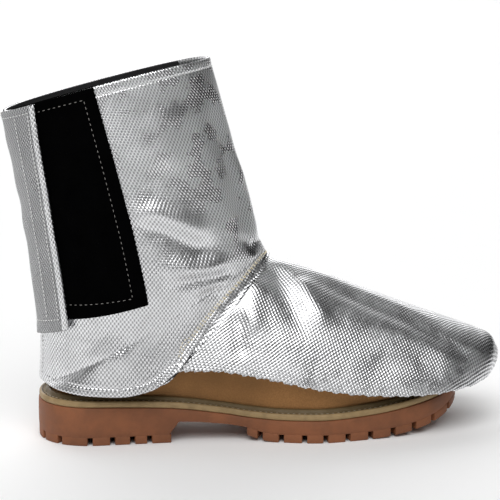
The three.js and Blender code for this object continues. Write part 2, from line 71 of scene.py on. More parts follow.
SOLE_LOW, SOLE_HIGH = box_in_mm("outsole")
LEG_LOW, LEG_HIGH = box_in_mm("leg_panel")
BOOT_ORIGIN = np.array([SOLE_LOW[0], (LEG_LOW[1] + LEG_HIGH[1]) / 2, 0])

# Sizes of the boot
SOLE_LENGTH = SOLE_HIGH[0] - SOLE_LOW[0]
BALL_WIDTH = 110
WAIST_WIDTH = 73
HEEL_WIDTH = 79
HEEL_STACK = 27.5
FOREPART_THICKNESS = 16
TOE_SPRING = 13
SHANK_THICKNESS = 9.5
HEEL_BREAST_FOOT = 90
HEEL_BREAST_LENGTH = 97
TREAD_START = 145
LUG_HEIGHT = 5.6
LUG_REACH = 17
LUG_GROOVE_WIDTH = 3.6
CENTRE_LUG_LENGTH = 13
CENTRE_LUG_WIDTH = 22
WELT_THICKNESS = 4.4
WELT_WIDTH = 12
WELT_RIB_HEIGHT = 2.6
UPPER_SETBACK = 9.4
UPPER_WALL = 2.2
COLLAR_HEIGHT = 157
COLLAR_DEPTH = 124
COLLAR_WIDTH = 74
TOE_CAP_HEIGHT = 81
INSTEP_TAPER = 0.2
GAP = 0.3

# Sizes of the spat
SPAT_FRONT_HEIGHT = LEG_HIGH[2]
INSTEP_HEIGHT = 140
RIM_WIDTH = 80
ANKLE_WIDTH = 104
FLARE_WIDTH = 136
CLOTH = 1.3
LAYER_GAP = 0.55
VAMP_FACE = -1.75
SEAM_LAP = 11
SLIT_ANGLE = 1.7
SLIT_TURN = 180 - SLIT_ANGLE

CLOTH_MAP = "cloth"
HEM_MAP = "hem"
FAR = 1000
MERGE_DISTANCE = 0.00002


def mix(a, b, t):
    """The value at a share of the way from a to b."""
    return a + (b - a) * t


def smooth(t):
    """Smooth step from 0 to 1."""
    t = np.clip(t, 0, 1)
    return t * t * (3 - 2 * t)


def along(table, column):
    """Smooth interpolation through a column of a table, without overshoot between its rows."""
    at = np.array([row.at for row in table])
    y = np.array([getattr(row, column) for row in table])
    secant = np.diff(y) / np.diff(at)
    before = np.append(secant[0], secant)
    after = np.append(secant, secant[-1])
    same_way = before * after > 0
    slope = np.where(same_way, 2 * before * after / np.where(same_way, before + after, 1), 0)

    def value(t):
        x = np.clip(t, at[0], at[-1])
        i = np.clip(np.searchsorted(at, x, side="right") - 1, 0, len(at) - 2)
        h = at[i + 1] - at[i]
        s = (x - at[i]) / h
        rise = y[i + 1] - y[i]
        c = h * slope[i]
        d = h * slope[i + 1]
        return y[i] + s * (c + s * (3 * rise - 2 * c - d + s * (c + d - 2 * rise)))

    return value


# Plan outline of the sole. at is a share of its length from the heel, outer the share of the
# width on the outer side.
Outline = namedtuple("Outline", "at width outer axis")
OUTLINE = [
    Outline(0.0, HEEL_WIDTH, 0.5, 0.0),
    Outline(0.14, HEEL_WIDTH, 0.5, 0.0),
    Outline(0.27, 0.97 * HEEL_WIDTH, 0.51, 0.0),
    Outline(0.42, WAIST_WIDTH, 0.55, 0.0),
    Outline(0.55, 0.84 * BALL_WIDTH, 0.55, 0.0),
    Outline(0.66, 0.99 * BALL_WIDTH, 0.53, 0.003 * SOLE_LENGTH),
    Outline(0.76, BALL_WIDTH, 0.51, 0.012 * SOLE_LENGTH),
    Outline(0.88, 0.95 * BALL_WIDTH, 0.5, 0.02 * SOLE_LENGTH),
    Outline(1.0, 0.88 * BALL_WIDTH, 0.5, 0.028 * SOLE_LENGTH),
]
sole_width = along(OUTLINE, "width")
outer_share = along(OUTLINE, "outer")
sole_axis = along(OUTLINE, "axis")
HEEL_CAP_POWER = 2.15
TOE_CAP_POWER = 2.2
TURN_STEP = 1 / 720


def cap_factor(distance, length, power):
    """Share of the width that a rounded end leaves at a distance from its tip."""
    t = np.clip(distance / length, 0, 1)
    return (1 - (1 - t) ** power) ** (1 / power)


def outline_point(turn):
    """Plan point of the sole's edge at turn 0 (toe) to 1 (heel) and on round the inner side."""
    turn = turn % 2
    x = SOLE_LENGTH * (1 + np.cos(turn * math.pi)) / 2
    share = x / SOLE_LENGTH
    side = np.where(turn <= 1, outer_share(share), outer_share(share) - 1)
    heel = cap_factor(x, HEEL_WIDTH / 2, HEEL_CAP_POWER)
    toe = cap_factor(SOLE_LENGTH - x, BALL_WIDTH / 2, TOE_CAP_POWER)
    return np.stack([x, sole_axis(share) - side * sole_width(share) * heel * toe], -1)


def inset_point(turn, distance):
    """A point of the sole's edge, moved inwards."""
    tangent = outline_point(turn + TURN_STEP) - outline_point(turn - TURN_STEP)
    inwards = np.stack([tangent[..., 1], -tangent[..., 0]], -1)
    inwards /= np.linalg.norm(inwards, axis=-1, keepdims=True)
    return outline_point(turn) + inwards * np.asarray(distance)[..., None]


# Heights of the sole: rise is a share of the heel's extra height, spring of the toe spring
Height = namedtuple("Height", "at rise spring")
SOLE_TOP = [
    Height(0.0, 1.03, 0.0),
    Height(0.12, 1.0, 0.0),
    Height(0.25, 0.86, 0.0),
    Height(0.33, 0.69, 0.0),
    Height(0.41, 0.38, 0.0),
    Height(0.48, 0.1, 0.0),
    Height(0.56, 0.0, 0.0),
    Height(0.66, 0.0, 0.02),
    Height(0.76, 0.0, 0.14),
    Height(0.87, 0.0, 0.5),
    Height(1.0, 0.0, 1.0),
]
top_rise = along(SOLE_TOP, "rise")
top_spring = along(SOLE_TOP, "spring")
FOREPART_FLAT_END = 0.72
TREAD_SWEEP = 1.1
TREAD_TIP = 0.4
TREAD_TIP_POWER = 10
TREAD_LEAD = 0.35
SHANK_FRONT_SHARE = 0.8
ARCH_POWER = 1.7


def sole_top(x):
    """Height of the sole's upper face."""
    share = x / SOLE_LENGTH
    heel = (HEEL_STACK - FOREPART_THICKNESS) * top_rise(share)
    return FOREPART_THICKNESS + heel + TOE_SPRING * top_spring(share)


def tread_bottom(x):
    """Height of the tread's lowest face, which rises to the toe and a little at its start."""
    beyond = (x / SOLE_LENGTH - FOREPART_FLAT_END) / (1 - FOREPART_FLAT_END)
    rise = np.clip(beyond, 0, 1)
    start = np.clip(1 - (x - TREAD_START) / CENTRE_LUG_WIDTH, 0, 1) * (x >= TREAD_START)
    tip = TREAD_TIP * rise**TREAD_TIP_POWER
    return TOE_SPRING * (TREAD_SWEEP * rise**2 + tip + TREAD_LEAD * start**2)


def sole_under(x):
    """Height of the sole's underside between its lugs."""
    breast = np.clip((x - HEEL_BREAST_FOOT) / (HEEL_BREAST_LENGTH - HEEL_BREAST_FOOT), 0, 1)
    waist = np.clip((x - HEEL_BREAST_LENGTH) / (TREAD_START - HEEL_BREAST_LENGTH), 0, 1)
    arch_back = sole_top(np.float64(HEEL_BREAST_LENGTH)) - SHANK_THICKNESS
    arch_front = sole_top(np.float64(TREAD_START)) - SHANK_FRONT_SHARE * SHANK_THICKNESS
    arch = mix(LUG_HEIGHT, mix(arch_back, arch_front, waist**ARCH_POWER), breast)
    return np.where(x < TREAD_START, arch, LUG_HEIGHT + tread_bottom(x))


# Sections of the spat from its rim (0) down the leg, round the heel and out to the toe (1): where
# each leaves the front line, where it ends at the slit or the hem, its half width and how far it
# turns.
Section = namedtuple("Section", "at x z end_x end_z half open")


def leg_section(at, x, z, end_x, end_z, half):
    """A section of the leg, which turns all the way round to the slit."""
    places = (x * SOLE_LENGTH, z * SPAT_FRONT_HEIGHT, end_x * SOLE_LENGTH, end_z * SPAT_FRONT_HEIGHT)
    return Section(at, *places, half, math.radians(SLIT_TURN))


def foot_section(at, x, z, end_x, end_z, half, turn=SLIT_TURN):
    """A section of the foot, with its heights as shares of the instep's."""
    places = (x * SOLE_LENGTH, z * INSTEP_HEIGHT, end_x * SOLE_LENGTH, end_z * INSTEP_HEIGHT)
    return Section(at, *places, half, math.radians(turn))


SECTIONS = [
    leg_section(0.0, 0.4039, 1.0, -0.063, 0.868, 0.5 * RIM_WIDTH),
    leg_section(0.09, 0.4295, 0.896, -0.05, 0.785, 0.535 * RIM_WIDTH),
    leg_section(0.2, 0.461, 0.764, -0.0285, 0.656, 0.45 * ANKLE_WIDTH),
    leg_section(0.32, 0.493, 0.625, -0.0125, 0.53, 0.485 * ANKLE_WIDTH),
    foot_section(0.405, 0.517, 1.0, 0.0025, 0.735, 0.5 * ANKLE_WIDTH),
    foot_section(0.455, 0.5225, 0.979, 0.0085, 0.55, 0.495 * ANKLE_WIDTH),
    foot_section(0.495, 0.5275, 0.959, 0.007, 0.42, 0.485 * ANKLE_WIDTH),
    foot_section(0.525, 0.53, 0.948, 0.0036, 0.302, 0.475 * ANKLE_WIDTH),
    foot_section(0.55, 0.5315, 0.942, 0.03, 0.288, 0.475 * ANKLE_WIDTH, 148),
    foot_section(0.585, 0.5335, 0.933, 0.1, 0.27, 0.4775 * ANKLE_WIDTH, 120),
    foot_section(0.62, 0.535, 0.926, 0.175, 0.266, 0.4825 * ANKLE_WIDTH, 104),
    foot_section(0.655, 0.5375, 0.918, 0.25, 0.3, 0.495 * ANKLE_WIDTH, 93),
    foot_section(0.69, 0.546, 0.912, 0.315, 0.395, 0.3925 * FLARE_WIDTH, 84),
    foot_section(0.735, 0.59, 0.885, 0.385, 0.396, 0.42 * FLARE_WIDTH, 79),
    foot_section(0.79, 0.665, 0.82, 0.505, 0.353, 0.46 * FLARE_WIDTH, 74),
    foot_section(0.845, 0.76, 0.733, 0.64, 0.285, 0.495 * FLARE_WIDTH, 70),
    foot_section(0.895, 0.865, 0.639, 0.785, 0.24, 0.51 * FLARE_WIDTH, 68),
    foot_section(0.935, 0.965, 0.554, 0.905, 0.226, 0.48 * FLARE_WIDTH, 66),
    foot_section(0.965, 1.052, 0.48, 1.002, 0.233, 0.395 * FLARE_WIDTH, 64),
    foot_section(0.985, 1.093, 0.436, 1.06, 0.256, 0.29 * FLARE_WIDTH, 62),
    foot_section(1.0, 1.11, 0.37, 1.086, 0.288, 0.21 * FLARE_WIDTH, 60),
]
HEEL_CORNER_AT = 0.525
SEAM_AT = 0.69
SEAM_BEND = 0.052
section = {name: along(SECTIONS, name) for name in Section._fields[1:]}

RIM_BOW_OUTER = 4.5
RIM_BOW_INNER = -0.6
RIM_BOW_FADE = 0.25


def spat_point(angle, at):
    """A point on the plain spat at an angle from the front line, negative on the outer side."""
    share = (1 - np.cos(angle)) / (1 - np.cos(section["open"](at)))
    side = np.sin(angle)
    bow = np.where(side < 0, RIM_BOW_OUTER, RIM_BOW_INNER)
    rim_rise = bow * side**2 * np.clip(1 - at / RIM_BOW_FADE, 0, 1)
    x = mix(section["x"](at), section["end_x"](at), share)
    y = section["half"](at) * side + sole_axis(x / SOLE_LENGTH)
    z = mix(section["z"](at), section["end_z"](at), share) + rim_rise
    return np.stack([x, y, z], -1)


def unit(vectors):
    """Vectors with a length of 1."""
    return vectors / np.linalg.norm(vectors, axis=-1, keepdims=True)


SLOPE_STEP = 1e-3


def slopes(surface, u, v):
    """How a surface's point moves with u and with v."""
    along_u = surface(u + SLOPE_STEP, v) - surface(u - SLOPE_STEP, v)
    high = np.minimum(v + SLOPE_STEP, 1)
    low = np.maximum(v - SLOPE_STEP, 0)
    along_v = surface(u, high) - surface(u, low)
    return along_u / (2 * SLOPE_STEP), along_v / (high - low)[..., None]


def outward(surface, u, v):
    """Unit normals that point out of a surface whose v runs down as its u turns."""
    along_u, along_v = slopes(surface, u, v)
    return unit(np.cross(along_v, along_u))


def seam_at(u):
    """Where the seam between leg and vamp runs, from 0 at the inner hem to 1 at the outer one."""
    return SEAM_AT - SEAM_BEND * np.sin(math.pi * np.abs(2 * u - 1))


# Creases of the cloth. Each follows a path of places, as degrees from the front
# line and section, and is a ridge where its height is positive and a trough where it is negative.
Crease = namedtuple("Crease", "height width path")
CREASES = [
    Crease(*row)
    for row in [
        (3.0, 8, [(-97, 0.262), (-82, 0.297), (-68, 0.334), (-56, 0.356)]),
        (-2.6, 7, [(-95, 0.305), (-82, 0.327), (-66, 0.365), (-50, 0.392)]),
        (2.4, 7, [(-90, 0.372), (-78, 0.398), (-62, 0.425), (-44, 0.452)]),
        (-2.0, 5, [(-84, 0.42), (-66, 0.455), (-46, 0.5)]),
        (1.4, 4, [(-76, 0.46), (-58, 0.498), (-44, 0.54)]),
        (-1.2, 4, [(-70, 0.5), (-56, 0.54)]),
        (-2.2, 9, [(-29, 0.06), (-28, 0.2), (-27, 0.31), (-31, 0.41)]),
        (1.8, 8, [(-11, 0.2), (-10, 0.32), (-13, 0.42)]),
        (1.5, 14, [(-60, 0.06), (-66, 0.14), (-74, 0.22)]),
        (-1.4, 5, [(-34, 0.36), (-27, 0.41), (-20, 0.45)]),
        (-1.2, 16, [(-104, 0.5), (-92, 0.56), (-80, 0.615)]),
        (2.0, 11, [(-128, 0.5), (-112, 0.54), (-98, 0.59)]),
        (-3.0, 10, [(-14, 0.7), (-26, 0.73), (-40, 0.768), (-54, 0.815)]),
        (2.0, 9, [(-19, 0.755), (-32, 0.785), (-46, 0.826)]),
        (2.2, 8, [(-30, 0.68), (-46, 0.712), (-62, 0.752)]),
        (-1.6, 7, [(-50, 0.70), (-62, 0.73), (-72, 0.765)]),
        (-1.3, 8, [(-58, 0.86), (-50, 0.9), (-42, 0.94)]),
        (-1.5, 7, [(-13, 0.735), (-20, 0.819), (-24, 0.89), (-33, 0.939), (-48, 0.969)]),
        (1.1, 6, [(-6, 0.75), (-9, 0.82), (-11, 0.89), (-16, 0.935)]),
        (1.8, 12, [(100, 0.25), (76, 0.31), (52, 0.37)]),
        (-1.5, 10, [(104, 0.3), (78, 0.36), (50, 0.42)]),
        (1.3, 9, [(92, 0.38), (66, 0.44), (40, 0.48)]),
        (-1.8, 9, [(30, 0.08), (28, 0.22), (32, 0.36)]),
        (-2.0, 12, [(118, 0.12), (112, 0.22), (104, 0.33)]),
        (-2.6, 10, [(16, 0.7), (30, 0.74), (46, 0.79)]),
        (1.8, 9, [(24, 0.77), (38, 0.8), (52, 0.84)]),
        (-1.6, 10, [(110, 0.5), (96, 0.56), (84, 0.61)]),
    ]
]
CREASE_FADE = 0.3
CREASE_STEPS = 12
SEAM_FADE = 12
SEAM_EDGE = 1
CLOSURE_FRONT_ANGLE = -100
CLOSURE_BOTTOM_AT = 0.46
CLOSURE_FADE_ANGLE = 9
CLOSURE_FADE_AT = 0.04


def polyline(path):
    """Points on the spat along a path of places given in degrees and sections."""
    places = np.array(path, float)
    steps = np.linspace(0, len(places) - 1, CREASE_STEPS)
    angle = np.interp(steps, range(len(places)), places[:, 0])
    at = np.interp(steps, range(len(places)), places[:, 1])
    return spat_point(np.radians(angle), at)


def nearest_on(line, points):
    """Distance of points from a line of points, and the share of the line where it is least."""
    best = np.full(points.shape[:-1], np.inf)
    share = np.zeros(points.shape[:-1])
    count = len(line) - 1
    for i in range(count):
        start = line[i]
        leg = line[i + 1] - start
        t = np.clip((points - start) @ leg / (leg @ leg), 0, 1)
        distance = np.linalg.norm(points - start - t[..., None] * leg, axis=-1)
        closer = distance < best
        best = np.where(closer, distance, best)
        share = np.where(closer, (i + t) / count, share)
    return best, share


def clear_of_closure(angle, at):
    """0 under the closure's flat panels, 1 away from them."""
    degrees = np.degrees(angle)
    in_front = smooth((degrees - CLOSURE_FRONT_ANGLE) / CLOSURE_FADE_ANGLE)
    below = smooth((at - CLOSURE_BOTTOM_AT) / CLOSURE_FADE_AT)
    return np.maximum(in_front, below)


def clear_of_seam(angle, at):
    """0 where leg and vamp lap, 1 away from there."""
    u = (1 - angle / section["open"](at)) / 2
    beyond = (at - seam_at(np.clip(u, 0, 1))) * SOLE_LENGTH
    inside = smooth((-beyond - SEAM_LAP) / SEAM_FADE)
    return np.maximum(inside, smooth((beyond - SEAM_EDGE) / SEAM_FADE))


def creased(points, angle, at, depth):
    """Height that the creases add at points of the plain spat."""
    total = np.zeros(points.shape[:-1])
    for crease in CREASES:
        distance, share = nearest_on(polyline(crease.path), points)
        ends = smooth(share / CREASE_FADE) * smooth((1 - share) / CREASE_FADE)
        total += crease.height * ends * np.exp(-((distance / crease.width) ** 2))
    return depth * total * clear_of_closure(angle, at) * clear_of_seam(angle, at)


def cloth_point(angle, at, height, depth=1.0):
    """A point at a height above the creased spat."""
    base = spat_point(angle, at)
    rise = height + creased(base, angle, at, depth)
    return base + outward(spat_point, angle, at) * rise[..., None]


def lower(angle, at, distance):
    """Moves places down the spat."""
    _, falling = slopes(spat_point, angle, at)
    return angle, at + distance / np.linalg.norm(falling, axis=-1)


def beside(angle, at, distance):
    """Moves places round the spat, towards its inner side."""
    turning, _ = slopes(spat_point, angle, at)
    return angle + distance / np.linalg.norm(turning, axis=-1), at


# Making pieces


def placed(points):
    """Boot millimetres to the frame's metres."""
    return (points + BOOT_ORIGIN) * MM


def finish_piece(name, bm, materials, replaced=()):
    """Turns a bmesh into a piece that rides on the boot."""
    mesh = bpy.data.meshes.new(name)
    bm.to_mesh(mesh)
    bm.free()
    mesh.shade_smooth()
    piece = bpy.data.objects.new(name, mesh)
    bpy.context.scene.collection.objects.link(piece)
    for material in materials:
        mesh.materials.append(material)
    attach(piece, BODY)
    if replaced:
        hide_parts(*replaced)
    return piece


def cumulative(points, axis):
    """Distance run through a grid of points along one of its axes."""
    steps = np.linalg.norm(np.diff(points, axis=axis), axis=-1).cumsum(axis=axis)
    return np.concatenate([np.zeros_like(steps.take([0], axis=axis)), steps], axis=axis)


def measured(points, u, v):
    """Distance across a sheet from its middle column, and down it from its first row."""
    across = cumulative(points, 0)
    return across - across[len(across) // 2], cumulative(points, 1)


def by_share(points, u, v):
    """Shares across and down, given as if they were metres."""
    return u / MM, v / MM


def no_hem(points):
    """Distances from hems for a piece that has none."""
    return np.full(points.shape[:-1], FAR), np.full(points.shape[:-1], FAR)


def grid(columns, rows, point, lay=measured, hem=no_hem):
    """A bmesh grid whose vertices go where point puts their shares across and down.

    Its cloth map holds the places that lay gives, and its hem map the distances that hem gives.
    """
    bm = bmesh.new()
    layers = [bm.loops.layers.uv.new(name) for name in (CLOTH_MAP, HEM_MAP)]
    bmesh.ops.create_grid(bm, x_segments=columns, y_segments=rows, size=0.5)
    flat = np.array([vertex.co for vertex in bm.verts])
    i = np.rint((flat[:, 0] + 0.5) * columns).astype(int)
    j = np.rint((flat[:, 1] + 0.5) * rows).astype(int)
    u, v = np.meshgrid(np.arange(columns + 1) / columns, np.arange(rows + 1) / rows, indexing="ij")
    points = point(u, v)
    for vertex, co in zip(bm.verts, placed(points)[i, j]):
        vertex.co = co
    maps = [np.stack(values, -1)[i, j] * MM for values in (lay(points, u, v), hem(points))]
    for face in bm.faces:
        for loop in face.loops:
            for layer, places in zip(layers, maps):
                loop[layer].uv = places[loop.vert.index]
    return bm


def close_up(bm, distance=MERGE_DISTANCE):
    """Merges the vertices that meet at seams and poles and turns the faces outwards."""
    bmesh.ops.remove_doubles(bm, verts=bm.verts, dist=distance)
    bmesh.ops.dissolve_degenerate(bm, dist=distance / 10, edges=bm.edges)
    bmesh.ops.recalc_face_normals(bm, faces=bm.faces)


def thicken(piece, thickness, inner_material=0):
    """Gives a sheet its thickness on its inner side."""
    wall = piece.modifiers.new("thickness", "SOLIDIFY")
    wall.thickness = thickness * MM
    wall.offset = -1
    wall.use_quality_normals = True
    wall.material_offset = inner_material


Stitch = namedtuple("Stitch", "pitch length width lift")


def add_stitches(bm, line, normals, stitch):
    """Adds rounded stitches at even steps along a line of points."""
    steps = np.linalg.norm(np.diff(line, axis=0), axis=1)
    length = np.append(0, steps.cumsum())
    count = int(length[-1] / stitch.pitch)
    for centre in (np.arange(count) + 0.5) * length[-1] / max(count, 1):
        i = min(np.searchsorted(length, centre, side="right") - 1, len(steps) - 1)
        t = (centre - length[i]) / steps[i]
        place = mix(line[i], line[i + 1], t) + stitch.lift * normals[i]
        run = Vector(line[i + 1] - line[i]).normalized()
        up = Vector(normals[i])
        side = up.cross(run).normalized()
        turned = Matrix((run, side, side.cross(run) * -1)).transposed().to_4x4()
        size = (stitch.length / 2, stitch.width / 2, stitch.width / 2)
        where = Matrix.Translation(Vector(placed(place)))
        sized = Matrix.Diagonal((*[s * MM for s in size], 1))
        bmesh.ops.create_icosphere(bm, subdivisions=1, radius=1, matrix=where @ turned @ sized)


STITCH_SAMPLES = 400
SPARSE = slice(None, None, 8)


def stitch_cloth(bm, angle, at, height, stitch):
    """Adds stitches along a line of places on the spat."""
    line = cloth_point(angle, at, np.full(angle.shape, float(height)))
    add_stitches(bm, line, outward(spat_point, angle, at), stitch)


# Finishes


class Value:
    """A node's output that takes part in arithmetic, where each operation adds its Math node."""

    def __init__(self, nodes, socket):
        self.nodes = nodes
        self.socket = socket

    def maths(self, operation, *terms):
        return self.nodes.add("ShaderNodeMath", {"operation": operation}, dict(enumerate(terms)))

    def __add__(self, other):
        return self.maths("ADD", self, other)

    __radd__ = __add__

    def __sub__(self, other):
        return self.maths("SUBTRACT", self, other)

    def __rsub__(self, other):
        return self.maths("SUBTRACT", other, self)

    def __mul__(self, other):
        return self.maths("MULTIPLY", self, other)

    __rmul__ = __mul__

    def sine(self):
        return self.maths("SINE", self)

    def absolute(self):
        return self.maths("ABSOLUTE", self)


NOISE_RANGE = (0.3, 0.7)


class Nodes:
    """The nodes of a material or a world."""

    def __init__(self, tree):
        self.tree = tree
        tree.nodes.clear()

    def add(self, kind, settings=None, sockets=None, output=0):
        """Adds a node, sets it up and gives one of its outputs."""
        node = self.tree.nodes.new(kind)
        for name, setting in (settings or {}).items():
            setattr(node, name, setting)
        for name, value in (sockets or {}).items():
            if isinstance(value, Value):
                self.tree.links.new(value.socket, node.inputs[name])
            else:
                node.inputs[name].default_value = value
        return Value(self, node.outputs[output]) if node.outputs else None

    def blend(self, factor, low, high):
        """Mixes two colours."""
        sockets = {0: factor, 6: low, 7: high}
        return self.add("ShaderNodeMix", {"data_type": "RGBA"}, sockets, output=2)

    def step(self, value, low, high, to_low=0.0, to_high=1.0):
        """A smooth step of a value between two limits."""
        sockets = {"Value": value, "From Min": low, "From Max": high}
        sockets.update({"To Min": to_low, "To Max": to_high})
        return self.add("ShaderNodeMapRange", {"interpolation_type": "SMOOTHSTEP"}, sockets)

    def varied(self, noise, low, high):
        """A number that follows a noise between two limits."""
        return self.step(noise, *NOISE_RANGE, low, high)

    def shades(self, factor, colour, low, high):
        """Mixes two shades of a colour."""
        return self.blend(factor, shade(colour, low), shade(colour, high))

    def noise(self, scale, detail=2.0, roughness=0.5, vector=None):
        """Noise on object coordinates, or on a vector, with its scale per metre."""
        where = vector or self.add("ShaderNodeTexCoord", output="Object")
        sockets = {"Vector": where, "Scale": scale, "Detail": detail, "Roughness": roughness}
        return self.add("ShaderNodeTexNoise", {}, sockets)

    def bump(self, height, distance):
        """A bump from a height between 0 and 1, deep at most the distance in millimetres."""
        sockets = {"Height": height, "Distance": distance * MM, "Strength": 1.0}
        return self.add("ShaderNodeBump", {}, sockets)

    def map_axis(self, axis, name=CLOTH_MAP):
        """One axis of a piece's own map."""
        where = self.add("ShaderNodeUVMap", {"uv_map": name})
        return self.add("ShaderNodeSeparateXYZ", {}, {"Vector": where}, output=axis)


def make_material(name, surface):
    """A material whose surface function gives the sockets of its shader."""
    if name in bpy.data.materials:
        return bpy.data.materials[name]
    material = bpy.data.materials.new(name)
    material.use_nodes = True
    nodes = Nodes(material.node_tree)
    shader = nodes.add("ShaderNodeBsdfPrincipled", {}, surface(nodes))
    nodes.add("ShaderNodeOutputMaterial", {}, {"Surface": shader})
    return material


def shade(colour, factor):
    """A colour made lighter or darker."""
    return tuple(min(channel * factor, 1.0) for channel in colour[:3]) + (1.0,)


# The metal film's relief, as shares of the weave's depth, and how far the weave wanders
WEAVE_WANDER = 0.5
PRESSED_RELIEF = 0.62
FINE_RELIEF = 0.15
CRUMPLE_RELIEF = 1.1
SWELL_RELIEF = 3.0
PINCH_RELIEF = 0.9
# Share of the silver left in the weave's hollows: partly worn film, partly painted shade
HOLLOW_WEAR_AND_SHADE_TONE = 0.4


def aluminized_cloth(sizes, name="aluminized cloth", fineness=1.0, relief=1.0, tone=1.0):
    """Bright metal film pressed on a coarse weave, smoother where it is rubbed flat."""

    def surface(nodes):
        wander = WEAVE_WANDER * sizes.weave_pitch
        across = nodes.map_axis(0) + (nodes.noise(70, 2) - 0.5) * wander
        down = nodes.map_axis(1) + (nodes.noise(55, 2) - 0.5) * wander
        wave_across = (across * (2 * math.pi * fineness / sizes.weave_pitch)).sine()
        wave_down = (down * (2 * math.pi * fineness / sizes.weave_rows)).sine()
        lobes = wave_across * wave_down * 0.5 + 0.5
        pressed = nodes.step(nodes.noise(30, 3, 0.55), 0.36, 0.66, PRESSED_RELIEF, 1.0)
        fine = nodes.noise(1500, 2)
        crumple = nodes.noise(110, 3, 0.6)
        swell = nodes.noise(24, 2, 0.5)
        pinch = 0.0
        for axis in (0, 1):
            distance = nodes.map_axis(axis, HEM_MAP).absolute()
            pinch = pinch + nodes.step(distance, 0.0, sizes.pinch, 1.0, 0.0)
        film = fine * FINE_RELIEF + crumple * CRUMPLE_RELIEF + swell * SWELL_RELIEF
        height = lobes * pressed * relief + film - pinch * PINCH_RELIEF
        # Darker colour in the weave's hollows: partly worn film, partly painted shade
        hollow_wear_and_shade = nodes.step(lobes, 0.1, 0.75)
        hollow_colour_with_shade = shade(sizes.silver, HOLLOW_WEAR_AND_SHADE_TONE * tone)
        return {
            "Base Color": nodes.blend(hollow_wear_and_shade, hollow_colour_with_shade, shade(sizes.silver, tone)),
            "Metallic": 1.0,
            "Roughness": nodes.varied(nodes.noise(60, 2), 0.22, 0.36),
            "Normal": nodes.bump(height, sizes.weave_depth / MM),
        }

    return make_material(name, surface)


def flap_cloth(sizes):
    """The flap's cloth, which is of a finer and greyer weave."""
    return aluminized_cloth(sizes, "aluminized flap cloth", fineness=1.2, relief=2.6, tone=0.56)


def dark_lining(sizes):
    """Plain dark cloth inside the spat."""

    def surface(nodes):
        across = (nodes.map_axis(0) * (2 * math.pi / sizes.lining_pitch)).sine()
        down = (nodes.map_axis(1) * (2 * math.pi / sizes.lining_pitch)).sine()
        threads = across * down * 0.5 + 0.5
        return {
            "Base Color": nodes.blend(threads, shade(sizes.lining, 0.55), sizes.lining),
            "Roughness": nodes.varied(nodes.noise(200), 0.75, 0.9),
            "Normal": nodes.bump(threads, 0.25),
        }

    return make_material("dark lining", surface)


def hook_and_loop(sizes):
    """Matt black pile."""

    def surface(nodes):
        pile = nodes.noise(1300, 4, 0.7)
        brushed = nodes.noise(90, 3)
        return {
            "Base Color": nodes.shades(brushed, sizes.tape, 0.6, 1.6),
            "Roughness": nodes.varied(brushed, 0.85, 1.0),
            "Specular IOR Level": 0.0,
            "Normal": nodes.bump(pile, 0.5),
        }

    return make_material("hook and loop tape", surface)


def thread(name, colour):
    """Twisted sewing thread."""

    def surface(nodes):
        twist = nodes.noise(2200, 2)
        return {
            "Base Color": nodes.shades(twist, colour, 0.7, 1.15),
            "Roughness": nodes.varied(twist, 0.6, 0.8),
            "Normal": nodes.bump(twist, 0.1),
        }

    return make_material(name, surface)


def nubuck(sizes):
    """Brushed leather with a short nap, darker in patches."""

    def surface(nodes):
        patches = nodes.noise(14, 4, 0.6)
        nap = nodes.noise(900, 4, 0.65)
        patchy = nodes.varied(patches, 0.0, 1.0)
        tone = nodes.shades(patchy, sizes.leather, 0.8, 1.15)
        brushed = nodes.step(nap, 0.35, 0.65, 0, 0.35)
        return {
            "Base Color": nodes.blend(brushed, tone, shade(sizes.leather, 0.6)),
            "Roughness": nodes.varied(patches, 0.78, 0.92),
            "Specular IOR Level": 0.25,
            "Normal": nodes.bump(nap, 0.25),
        }

    return make_material("nubuck", surface)


def welt_strip(sizes):
    """Tan strip at the edge that turns olive on the rib beside the upper."""

    def surface(nodes):
        profile = nodes.map_axis(1)
        mottle = nodes.noise(160, 3)
        olive = nodes.step(profile, sizes.welt_olive_from, sizes.welt_olive_from + 0.06)
        # The colour is darker in the stitch groove
        groove = nodes.step((profile - sizes.welt_groove_at).absolute(), 0.02, 0.045, 1.0, 0.0)
        tone = nodes.blend(olive, sizes.welt, sizes.welt_rib)
        groove_darkened = nodes.blend(groove, tone, shade(sizes.welt_rib, 0.45))
        mottled = nodes.step(mottle, 0.35, 0.8, 0, 0.4)
        return {
            "Base Color": nodes.blend(mottled, groove_darkened, shade(sizes.welt_rib, 0.7)),
            "Roughness": nodes.varied(mottle, 0.5, 0.65),
            "Normal": nodes.bump(nodes.noise(700, 3), 0.12),
        }

    return make_material("welt strip", surface)


def gum_rubber(sizes):
    """Moulded reddish rubber with slight mottling."""

    def surface(nodes):
        mottle = nodes.noise(45, 4, 0.6)
        grain = nodes.noise(1100, 3)
        mottled = nodes.step(mottle, 0.3, 0.72)
        return {
            "Base Color": nodes.shades(mottled, sizes.rubber, 0.78, 1.12),
            "Roughness": nodes.varied(mottle, 0.5, 0.68),
            "Specular IOR Level": 0.35,
            "Normal": nodes.bump(grain, 0.12),
        }

    return make_material("gum rubber", surface)


def insole_felt(sizes):
    """Matt inner sole."""

    def surface(nodes):
        fibres = nodes.noise(500, 4, 0.7)
        return {
            "Base Color": nodes.shades(fibres, sizes.insole, 0.6, 1.3),
            "Roughness": nodes.varied(fibres, 0.8, 0.95),
            "Normal": nodes.bump(fibres, 0.3),
        }

    return make_material("inner sole", surface)


# Sizes and colours that a user would change


def length_prop(name, description, default):
    """A length in metres that a user can set."""
    return bpy.props.FloatProperty(name=name, description=description, default=default, unit="LENGTH")


def share_prop(name, description, default):
    """A share of a whole that a user can set."""
    return bpy.props.FloatProperty(name=name, description=description, default=default, subtype="FACTOR")


def angle_prop(name, description, default):
    """An angle that a user can set, in radians."""
    return bpy.props.FloatProperty(name=name, description=description, default=default, subtype="ANGLE")


def strength_prop(name, description, default):
    """A light's strength that a user can set."""
    return bpy.props.FloatProperty(name=name, description=description, default=default, unit="NONE")


